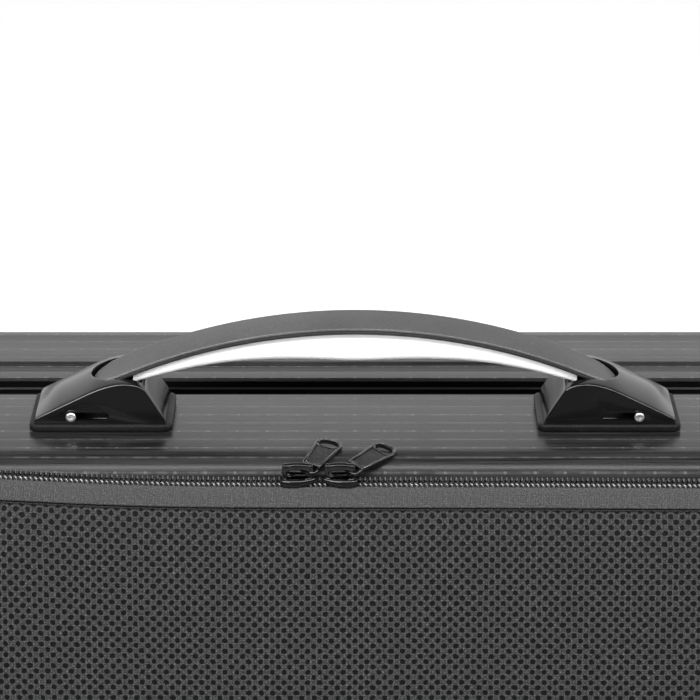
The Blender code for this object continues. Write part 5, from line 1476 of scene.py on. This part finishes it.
    def tab(self, side: Side, lean: float) -> tuple[Piece, Piece, Piece]:
        """A pull tab: a loop through the bridge, raised rails, a bare panel and an oval hole."""
        half = self.tab_thickness / 2
        near, far, start, end = self.tab_near, self.tab_far, self.tab_start, self.tab_end
        corner = self.tab_corner
        slant = (far - near) / (end - corner - start)
        outline = [(-near, start), (near, start)]
        outline += arc((far - corner, end - corner), corner, -slant, math.pi / 2, 12)
        outline += arc((corner - far, end - corner), corner, math.pi / 2, math.pi + slant, 12)
        plate = soften(prism("pull_" + side.word, outline, "Z", -half, half), self.tab_round, 3, 50)
        hole_at = end - 2.35 * MM
        hole = [((far - 0.95 * MM) * math.cos(turn), hole_at + 1.45 * MM * math.sin(turn))
                for turn in np.linspace(0, 2 * math.pi, 41)[:-1]]
        combine(plate, prism("tool", hole, "Z", -2 * half, 2 * half))
        low, high = start + 1.0 * MM, hole_at - 1.9 * MM
        wide = [near + slant * (at - start) - 0.85 * MM for at in (low, high)]
        panel = [(-wide[0] + 0.7 * MM, low), (wide[0] - 0.7 * MM, low), (wide[0], low + 0.9 * MM), (wide[1], high),
                 (-wide[1], high), (-wide[0], low + 0.9 * MM)]
        combine(plate, prism("tool", panel, "Z", half - self.tab_recess, 2 * half))
        soften(plate, 0.08 * MM, 2, 60)
        rim = [(a * (1 - 0.26 * MM / far), b - (0.26 * MM if b > start else -0.2 * MM)) for a, b in outline]
        rails = sweep("pull_rails_" + side.word, [Vector((a, b, half - 0.06 * MM)) for a, b in rim],
                      circle((0, 0), self.tab_rail, 12), closed=True, up=Vector((0, 0, 1)))
        sheet = prism("pull_panel_" + side.word, [(a * 0.97, b) for a, b in panel], "Z", half - 0.4 * MM,
                      half - 0.24 * MM)
        drop = -0.75 * MM
        path = [Vector(spot) for spot in (
            (-near + 0.5 * MM, start + 0.9 * MM, 0), (-near + 0.5 * MM, start - 0.3 * MM, drop * 0.25),
            (-near + 0.6 * MM, 0.75 * MM, drop * 0.8), (-near + 0.95 * MM, 0.2 * MM, drop),
            (-near + 1.5 * MM, 0.0, drop))]
        path += [Vector((-spot.x, spot.y, spot.z)) for spot in reversed(path)]
        loop = sweep("tool", path, circle((0, 0), self.tab_loop, 14), up=Vector((0, 0, 1)))
        combine(plate, loop, "UNION")
        _, y, z = ZIP.at(0.0, 0.0, self.bridge, wave=False)
        place = (self.meet + side.value * self.spacing / 2, y, z)
        turn = Matrix.Translation((self.tab_shift, 0, 0)) @ Matrix.Rotation(-math.radians(lean), 4, "Z")
        for item in (plate, sheet, rails):
            item.data.transform(turn)
            smooth(self.settle(item, self.tab_tilt(), place), 40)
        return plate, sheet, rails

    def build(self) -> None:
        """Make the zip and dress it."""
        DRESS.wear(self.tape(), TAPE_CLOTH, "back", ["zip_tape"])
        near = ((-0.36, -1.46, 0.1), (-0.3, -1.44, 0.5), (-0.14, -1.3, 0.8), (0.1, -1.0, 0.9), (0.26, -0.78, 0.75),
                (0.3, -0.68, 0.35))
        far = ((-0.36, 1.36, 0.1), (-0.3, 1.32, 0.55), (-0.14, 1.1, 0.9), (0.12, 0.6, 0.98), (0.28, 0.1, 0.8),
               (0.32, -0.05, 0.4))
        # The near row wears the lighter coil finish, a painted highlight; the far row keeps the black.
        DRESS.wear(self.teeth("zip_coil_near", near, 0.0), COIL_HIGHLIGHT, "back", ["zip_chain"])
        DRESS.wear(self.teeth("zip_coil_far", far, self.pitch / 2), ZIP_TEETH, "back")
        DRESS.wear(self.stitches(), THREAD, "back")
        for side, lean in zip(Side, self.leans):
            word = side.word
            DRESS.wear(self.slider(side), SLIDER, "zip_slider_" + word, ["zip_slider_" + word])
            tab, panel, rails = self.tab(side, lean)
            DRESS.wear(rails, RAIL_HIGHLIGHT, "pull_tab_" + word)
            DRESS.wear(tab, SLIDER, "pull_tab_" + word, ["pull_tab_" + word])
            DRESS.wear(panel, TAB_PANEL, "pull_tab_" + word)


# --- soft insides


class Upholstery:
    """Makes soft skins from the solids, fills them, and sews along paths."""

    frames: int = 20

    @staticmethod
    def points(item: Piece) -> np.ndarray:
        """An object's points as rows."""
        flat = np.empty(len(item.data.vertices) * 3)
        item.data.vertices.foreach_get("co", flat)
        return flat.reshape(-1, 3)

    @staticmethod
    def move(item: Piece, spots: np.ndarray) -> None:
        """Put an object's points at new places."""
        item.data.vertices.foreach_set("co", spots.ravel())
        item.data.update()

    def skin(self, name: str, nodes: Sequence[str], voxel: float, rounds: int, shrink: float = 0.0) -> Piece:
        """One soft skin round copies of solids.

        Args:
            name: The piece's name.
            nodes: The solids that it is made from.
            voxel: The size of its faces.
            rounds: How often it is smoothed.
            shrink: How much smaller it starts, for cloth that swells.

        Returns:
            The piece.
        """
        mesh = bmesh.new()
        for node in nodes:
            mesh.from_mesh(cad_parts[node].data)
        item = from_bmesh(name, mesh)
        modifier = item.modifiers.new("skin", "REMESH")
        modifier.mode = "VOXEL"
        modifier.voxel_size = voxel
        modified(item, "SMOOTH", factor=0.5, iterations=rounds)
        if shrink:
            normals = np.empty(len(item.data.vertices) * 3)
            item.data.vertices.foreach_get("normal", normals)
            self.move(item, self.points(item) - normals.reshape(-1, 3) * shrink)
        return item

    def fill(self, item: Piece, cap: float, pressure: float = 4.0) -> Piece:
        """Swell a skin as cloth under pressure, each point within the cap, and subdivide it once."""
        scene = bpy.context.scene
        start = self.points(item)
        modifier = item.modifiers.new("Cloth", "CLOTH")
        settings = modifier.settings
        settings.quality = 5
        settings.mass = 0.3
        settings.use_pressure = True
        settings.uniform_pressure_force = pressure
        settings.effector_weights.gravity = 0.0
        modifier.point_cache.frame_start, modifier.point_cache.frame_end = 1, self.frames
        for number in range(1, self.frames + 1):
            scene.frame_set(number)
        moved = self.points(item.evaluated_get(bpy.context.evaluated_depsgraph_get()))
        item.modifiers.clear()
        away = moved - start
        reach = np.linalg.norm(away, axis=1, keepdims=True)
        self.move(item, start + away * np.minimum(1, cap / np.maximum(reach, 1e-9)))
        scene.frame_set(1)
        LOG.info("%s swelled by up to %.1f mm", item.name, min(float(reach.max()), cap) / MM)
        return subdivided(item)

    def pad(self, node: str, shrink: float) -> Piece:
        """A filled pad in the place of a solid, dressed, with the solid hidden."""
        item = self.fill(self.skin(node + "_cushion", [node], 4 * MM, 2, shrink), shrink * 1.15)
        DRESS.wear(smooth(item, ROUND), PLUSH, "back", [node])
        return item

    def cord_edge(self, name: str, path: Sequence[Vector], radius: float, body: str) -> Piece:
        """Piping along a closed path."""
        item = sweep(name, path, circle((0, 0), radius, 12), closed=True)
        return DRESS.wear(smooth(item, ROUND), PIPING, body)

    def stitches(self, name: str, path: Sequence[Vector], pitch: float, size: Pair,
                 over: Vector) -> Piece:
        """Stitches along a path, arched over the cloth."""
        length, radius = size
        parts = []
        for start, end in zip(path, path[1:]):
            run = (end - start).length
            count = max(1, round(run / pitch))
            along = (end - start).normalized() * (length / 2)
            for step in range(count):
                middle = start.lerp(end, (step + 0.5) / count)
                points = (middle - along - over * 0.25 * radius, middle + over * 0.5 * radius,
                          middle + along - over * 0.25 * radius)
                parts.append(worm([tuple(point) for point in points], (radius * 0.7, radius, radius * 0.7), 6))
        return smooth(gather(name, parts), 60)


SEW = Upholstery()


@dataclass
class Inside:
    """The back half's inside: plush surround, piping, pads, cradle, strap and accessory lid."""

    tail: float = -352 * MM
    body_length: float = 362 * MM
    half_width: float = 112 * MM
    neck_half: float = 27 * MM
    neck_end: float = 256 * MM
    piping: float = 1.5 * MM
    strap_row: float = 2.6 * MM
    strap_hem: float = 9 * MM
    strap_thickness: float = 1.55 * MM
    strap_more: float = 0.35 * MM
    flap_tab: float = 7 * MM
    flap_inset: float = 3 * MM
    shares: Section = (
        (0.0, 0.40), (0.015, 0.66), (0.06, 0.88), (0.13, 0.98), (0.22, 1.0), (0.31, 0.985), (0.39, 0.885),
        (0.46, 0.72), (0.52, 0.64), (0.58, 0.68), (0.64, 0.79), (0.72, 0.86), (0.81, 0.87), (0.89, 0.83),
        (0.95, 0.71), (0.99, 0.47), (1.0, 0.28))

    def recess_edge(self) -> list[Vector]:
        """The line that the piping follows round the violin's recess."""
        half = [(self.tail + along * self.body_length, across * self.half_width) for along, across in self.shares]
        half += [(self.tail + self.body_length + 6 * MM, self.neck_half), (self.neck_end - 6 * MM, self.neck_half),
                 (self.neck_end, self.neck_half - 6 * MM)]
        half = [half[0], *eased(half[:17], 4)[1:], *half[17:]]
        both = half + [(x, -z) for x, z in reversed(half)]
        y = AT.liner - 0.2 * MM
        return slice_at([(x, OUTLINE.middle + z) for x, z in both], "Y", y)

    def surround(self) -> None:
        """The plush-covered foam, in one soft skin, and its piping."""
        item = SEW.skin("plush_surround", ("liner_body", "liner_neck"), 2.6 * MM, 3)
        DRESS.wear(smooth(item, ROUND), PLUSH, "back", ["liner_body", "liner_neck"])
        bed = SEW.skin("plush_bed", ("liner_floor",), 4 * MM, 2)
        DRESS.wear(smooth(bed, ROUND), PLUSH, "back", ["liner_floor"])
        SEW.cord_edge("recess_piping", self.recess_edge(), self.piping, "back")

    def strap(self) -> None:
        """The neck strap: a woven band with a turned end, sewn along its edges."""
        low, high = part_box("neck_strap")
        middle_y, top = (low[1] + high[1]) / 2, high[1]
        half_x = (high[0] - low[0]) / 2
        centre = (low[0] + high[0]) / 2
        rings, flats = [], []
        for z in np.linspace(low[2] + 0.2 * MM, high[2] - 0.2 * MM, 60):
            share = (z - OUTLINE.middle) / (high[2] - OUTLINE.middle)
            thick = self.strap_thickness + (self.strap_more if abs(share) > 0.8 else 0.0)
            section, flat = [], []
            for a, b in rounded(half_x, thick / 2, 0.7 * MM, 4):
                section.append(Vector((centre + a, middle_y + b, z)))
                flat.append((a, z))
            rings.append(section)
            flats.append(flat)
        item = loft("neck_strap_band", rings, flats=flats)
        DRESS.wear(smooth(item, CLOTH), STRAP_CLOTH, "back", ["neck_strap"])
        inset = self.strap_row
        x0, x1, z0, z1 = low[0] + inset, high[0] - inset, low[2] + inset, high[2] - inset
        y = top - 0.15 * MM
        path = [Vector(spot) for spot in ((x0, y, z0), (x1, y, z0), (x1, y, z1), (x0, y, z1), (x0, y, z0))]
        hem = self.strap_hem
        path += [Vector(spot) for spot in ((x0, y, z0 + hem), (x1, y, z0 + hem), (x1, y, z1 - hem), (x0, y, z1 - hem))]
        DRESS.wear(SEW.stitches("neck_strap_stitches", path, 2.2 * MM, (1.5 * MM, 0.2 * MM), Vector((0, 1, 0))),
                   THREAD, "back")

    def flap(self) -> None:
        """The accessory compartment's plush lid, its piping and its pull tab."""
        item = SEW.skin("accessory_flap", ("accessory_lid",), 1.1 * MM, 3)
        DRESS.wear(smooth(item, ROUND), PLUSH, "accessory_lid", ["accessory_lid"])
        low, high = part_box("accessory_lid")
        tab, inset = self.flap_tab, self.flap_inset
        middle = ((low[0] + high[0]) / 2, (low[2] + tab + high[2]) / 2)
        reach = ((high[0] - low[0]) / 2 - inset, (high[2] - low[2] - tab) / 2 - inset)
        path = slice_at(rounded(*reach, 3 * MM, 6, middle), "Y", AT.liner - 0.25 * MM)
        SEW.cord_edge("flap_piping", path, 1.0 * MM, "accessory_lid")

    def build(self) -> None:
        """Make and dress the back half's inside."""
        self.surround()
        SEW.pad("tail_pad", 1.6 * MM)
        SEW.pad("shoulder_pad", 1.6 * MM)
        SEW.pad("neck_cradle", 1.0 * MM)
        self.strap()
        self.flap()


@dataclass
class LidInside:
    """The lid's inside: padded lining with piping, the bow tip pocket and the bow clips."""

    inset: float = 8 * MM
    channel: float = 150 * MM
    channel_depth: float = 1.6 * MM
    pocket_wall: float = 1.6 * MM
    pocket_corner: float = 7 * MM

    def lining(self) -> None:
        """The padded lining, crowned between two sewn channels."""
        item = SEW.skin("lid_lining", ("lid_liner",), 2.8 * MM, 2)
        spots = SEW.points(item)
        face = spots[:, 1] < AT.lid_floor + 1.5 * MM
        for line in (-self.channel, self.channel):
            dip = self.channel_depth * np.exp(-((spots[:, 0] - line) / (4 * MM)) ** 2)
            spots[:, 1] += np.where(face, dip, 0.0)
        SEW.move(item, spots)
        DRESS.wear(smooth(item, ROUND), PLUSH, "lid", ["lid_liner"])
        SEW.cord_edge("lid_lining_piping", OUTLINE.ring(self.inset + 2.2 * MM, AT.lid_floor + 0.2 * MM),
                      1.5 * MM, "lid")

    def tip_pocket(self) -> None:
        """A plush pocket for the bows' tips, full in front, with a gathered mouth."""
        low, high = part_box("bow_tip_pocket")
        half_z, half_y = (high[2] - low[2]) / 2, (high[1] - low[1]) / 2
        centre = ((low[2] + high[2]) / 2, (low[1] + high[1]) / 2)
        wall = self.pocket_wall

        def ring(x: float, inset: float, gather: float = 0.0) -> list[Vector]:
            points = []
            radius = max(self.pocket_corner - inset, 1.2 * MM)
            for z, y in rounded(half_z - inset, half_y - inset, radius, 8, centre):
                pucker = gather * (1 + math.cos(z / MM * 1.1)) / 2 if y < centre[1] else 0.0
                points.append(Vector((x, y + pucker, z)))
            return self.finer(points)

        mouth, end = low[0], high[0]
        rows = [ring(end - wall - 1 * MM, wall + 3 * MM), ring(end - wall, wall), ring(mouth + 8 * MM, wall),
                ring(mouth + 0.6 * MM, wall, 0.6 * MM), ring(mouth, wall * 0.75, 0.6 * MM),
                ring(mouth, wall * 0.3, 0.6 * MM), ring(mouth + 0.6 * MM, 0.1 * MM, 0.6 * MM),
                ring(mouth + 3 * MM, 0.0, 0.9 * MM), ring(mouth + 6 * MM, 0.3 * MM, 0.6 * MM),
                ring(mouth + 9 * MM, 0.0), ring(end - 12 * MM, 0.0), ring(end - 5 * MM, 0.6 * MM),
                ring(end - 1.5 * MM, 2.2 * MM), ring(end, 5 * MM)]
        item = loft("bow_tip_pouch", rows)
        DRESS.wear(smooth(item, CLOTH), PLUSH, "lid", ["bow_tip_pocket"])

    @staticmethod
    def finer(points: Sequence[Vector], step: float = 1.6 * MM) -> list[Vector]:
        """The same ring with its long stretches divided evenly."""
        result = []
        for start, end in zip(points, [*points[1:], points[0]]):
            count = max(1, round((end - start).length / step)) if (end - start).length > 4 * step else 1
            result += [start.lerp(end, part / count) for part in range(count)]
        return result

    def build(self) -> None:
        """Make and dress the lid's inside."""
        self.lining()
        self.tip_pocket()
        for place in ("upper", "lower"):
            DRESS.keep("bow_clip_" + place, CLIP)


@dataclass
class Hardware:
    """Latches, hinges, feet and strap rings, with the screws that hold them."""

    dome: float = 0.42
    screw_rise: float = 1.6 * MM
    latch_gap: float = 10.5 * MM
    hinge_gap: float = 20 * MM
    ring_gap: float = 13.2 * MM
    leaf_edge: float = 6 * MM
    latch_screw: float = 1.5 * MM
    hinge_screw: float = 2.0 * MM
    ring_screw: float = 1.9 * MM
    latch_near: float = 2.6 * MM
    plate_out: float = 3.3 * MM
    cross: Pair = (0.56, 0.15)

    def screw(self, name: str, centre: Sequence[float], axis: str, at: float, toward: int, radius: float,
              body: str) -> Piece:
        """A domed screw head with a crossed recess.

        Args:
            name: The piece's name.
            centre: Its place in the plane across the axis.
            axis: The axis that it is driven along.
            at: Where its head sits on that axis.
            toward: The way that its head looks along the axis.
            radius: The head's radius.
            body: The body that it rides on.

        Returns:
            The piece.
        """
        rise = radius * self.dome
        rings = [slice_at(circle(centre, radius * share, 28), axis, at + toward * rise * up)
                 for up, share in ((-0.6, 0.9), (0.0, 1.0), (0.3, 0.97), (0.62, 0.82), (0.85, 0.6), (1.0, 0.3))]
        item = loft(name, rings)
        long, thin = (radius * share for share in self.cross)
        for a, b in ((long, thin), (thin, long)):
            outline = [(centre[0] - a, centre[1] - b), (centre[0] + a, centre[1] - b),
                       (centre[0] + a, centre[1] + b), (centre[0] - a, centre[1] + b)]
            combine(item, prism("tool", outline, axis, at + toward * rise * 0.35, at + toward * rise * 2))
        return DRESS.wear(smooth(item, 30), STEEL, body)

    def build(self) -> None:
        """Dress the hardware and drive its screws."""
        for side in Side:
            word = side.word
            for node in ("latch_base_", "latch_lever_", "latch_bail_", "latch_keeper_", "d_ring_", "ring_plate_"):
                DRESS.keep(node + word, PLATED)
            for node in ("hinge_leaf_back_", "hinge_leaf_lid_", "hinge_pin_"):
                DRESS.keep(node + word, STEEL)
            for node in ("foot_back_", "foot_lid_"):
                DRESS.keep(node + word, RUBBER)

            (left, near, under), (right, _, _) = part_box("latch_base_" + word)
            (_, front, low), (_, behind, high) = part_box("ring_plate_" + word)
            outer = side.value * (OUTLINE.length / 2 + self.plate_out)
            for mark, sign in (("a", -1), ("b", 1)):
                place = ((left + right) / 2 + sign * self.latch_gap, near + self.latch_near)
                self.screw(f"latch_screw_{word}_{mark}", place, "Z", under + self.screw_rise, 1,
                           self.latch_screw, "back")
                for node, body in (("hinge_leaf_back_", "back"), ("hinge_leaf_lid_", "lid")):
                    lowest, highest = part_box(node + word)
                    y = lowest[1] + self.leaf_edge if body == "back" else highest[1] - self.leaf_edge
                    place = ((lowest[0] + highest[0]) / 2 + sign * self.hinge_gap, y)
                    self.screw(f"{node}screw_{word}_{mark}", place, "Z", self.leaf_under(node + word, y), -1,
                               self.hinge_screw, body)
                place = ((front + behind) / 2, (low + high) / 2 + sign * self.ring_gap)
                self.screw(f"ring_screw_{word}_{mark}", place, "X", outer, side.value, self.ring_screw, "back")

    @staticmethod
    def leaf_under(node: str, y: float, reach: float = 9 * MM) -> float:
        """The lowest height of a hinge leaf within reach of a place across the case."""
        return min(vert.co.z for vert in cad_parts[node].data.vertices if abs(vert.co.y - y) < reach)


# --- studio


@dataclass(frozen=True)
class Lamp:
    """A soft lamp: where it stands, what it faces, its size and its power in watts."""

    name: str
    place: Triple
    toward: Triple
    size: Pair
    power: float


@dataclass
class Studio:
    """Pale floor, plain soft light, and the photograph's camera."""

    eye: Triple = (-0.0014, -0.8569, 0.5868)
    pitch: float = math.radians(70)
    lens: float = 165.3
    half_floor: float = 6.0
    front_shade: float = 0.07
    floor_tones: Pair = (0.82, 0.86)
    floor_glow: float = 0.45
    plain_light: float = 0.33
    lamps: tuple[Lamp, ...] = (
        Lamp("strip_above", (0.0, -1.0, 1.45), (0.0, 0.0, 0.2), (5.5, 0.3), 66.0),
        Lamp("softbox_front", (-0.9, -1.9, 1.5), (0.0, 0.0, 0.2), (1.3, 1.1), 19.0),
        Lamp("softbox_right", (2.1, -0.4, 1.2), (0.0, 0.0, 0.2), (1.0, 1.2), 8.0))

    def floor(self) -> None:
        """The floor: a pale sheet that keeps the case's shadow."""
        reach = self.half_floor
        corners = [(-reach, -reach), (reach, -reach), (reach, reach), (-reach, reach)]
        mesh = bmesh.new()
        mesh.faces.new([mesh.verts.new((x, y, 0)) for x, y in corners])
        item = from_bmesh("studio_floor", mesh)
        made, graph, place, shader = blank("look_floor")
        cloudy = graph.noise(place, 2.0)
        pale = graph.mix(cloudy, *self.floor_tones)
        path = graph.node("ShaderNodeLightPath")
        _, depth, _ = graph.split(place)
        front = graph.times(graph.span(depth, -0.5, 0.1, 1.0, 0.0), path.outputs["Is Glossy Ray"])
        graph.feed(shader.inputs["Base Color"], graph.mix(front, pale, self.front_shade))
        shader.inputs["Roughness"].default_value = 0.9
        graph.feed(shader.inputs["Emission Color"], (1, 1, 1, 1))
        graph.feed(shader.inputs["Emission Strength"], graph.times(path.outputs["Is Camera Ray"], self.floor_glow))
        item.data.materials.append(made)

    def world(self) -> None:
        """White to the eye and in reflections from behind the case, dark in front, plain grey as a light."""
        world = bpy.data.worlds.new("studio")
        world.use_nodes = True
        bpy.context.scene.world = world
        graph = Graph(world.node_tree)
        path = graph.node("ShaderNodeLightPath")
        _, depth, height = graph.split(graph.node("ShaderNodeTexCoord").outputs["Generated"])
        behind = graph.times(graph.span(depth, -0.25, 0.45), graph.span(height, 0.4, 0.8, 1.0, 0.08))
        mirrored = graph.math("MAXIMUM", path.outputs["Is Glossy Ray"], path.outputs["Is Transmission Ray"])
        plain = graph.less(1.0, mirrored)
        seen = graph.math("MAXIMUM", path.outputs["Is Camera Ray"], graph.times(plain, self.plain_light))
        reflected = graph.times(mirrored, graph.math("MAXIMUM", behind, self.front_shade))
        background = world.node_tree.nodes["Background"]
        graph.feed(background.inputs["Color"], (1, 1, 1, 1))
        graph.feed(background.inputs["Strength"], graph.math("MAXIMUM", seen, reflected))

    def build(self) -> None:
        """Make floor, world, lamps and camera."""
        scene = bpy.context.scene
        scene.view_settings.view_transform = "Standard"
        self.floor()
        self.world()
        for lamp in self.lamps:
            light = bpy.data.lights.new(lamp.name, "AREA")
            light.shape = "RECTANGLE"
            light.size, light.size_y = lamp.size
            light.energy = lamp.power
            item = bpy.data.objects.new(lamp.name, light)
            scene.collection.objects.link(item)
            away = Vector(lamp.toward) - Vector(lamp.place)
            item.matrix_world = Matrix.Translation(lamp.place) @ away.to_track_quat("-Z", "Y").to_matrix().to_4x4()
        camera = bpy.data.cameras.new("camera")
        camera.lens = self.lens
        camera.sensor_width = 36.0
        camera.clip_start, camera.clip_end = 0.01, 50.0
        item = bpy.data.objects.new("camera", camera)
        item.location = self.eye
        item.rotation_euler = (self.pitch, 0, 0)
        scene.collection.objects.link(item)
        scene.camera = item


def main() -> None:
    """Build the case, sub-assembly by sub-assembly, and the studio round it."""
    logging.basicConfig(level=logging.INFO, format="%(message)s")
    for part in (Shells(), Handle(), Pocket(), Zip(), Inside(), LidInside(), Hardware()):
        part.build()
        LOG.info("%s is built; %d pieces are dressed", type(part).__name__, DRESS.count)
    Studio().build()


if __name__ == "__main__":
    main()
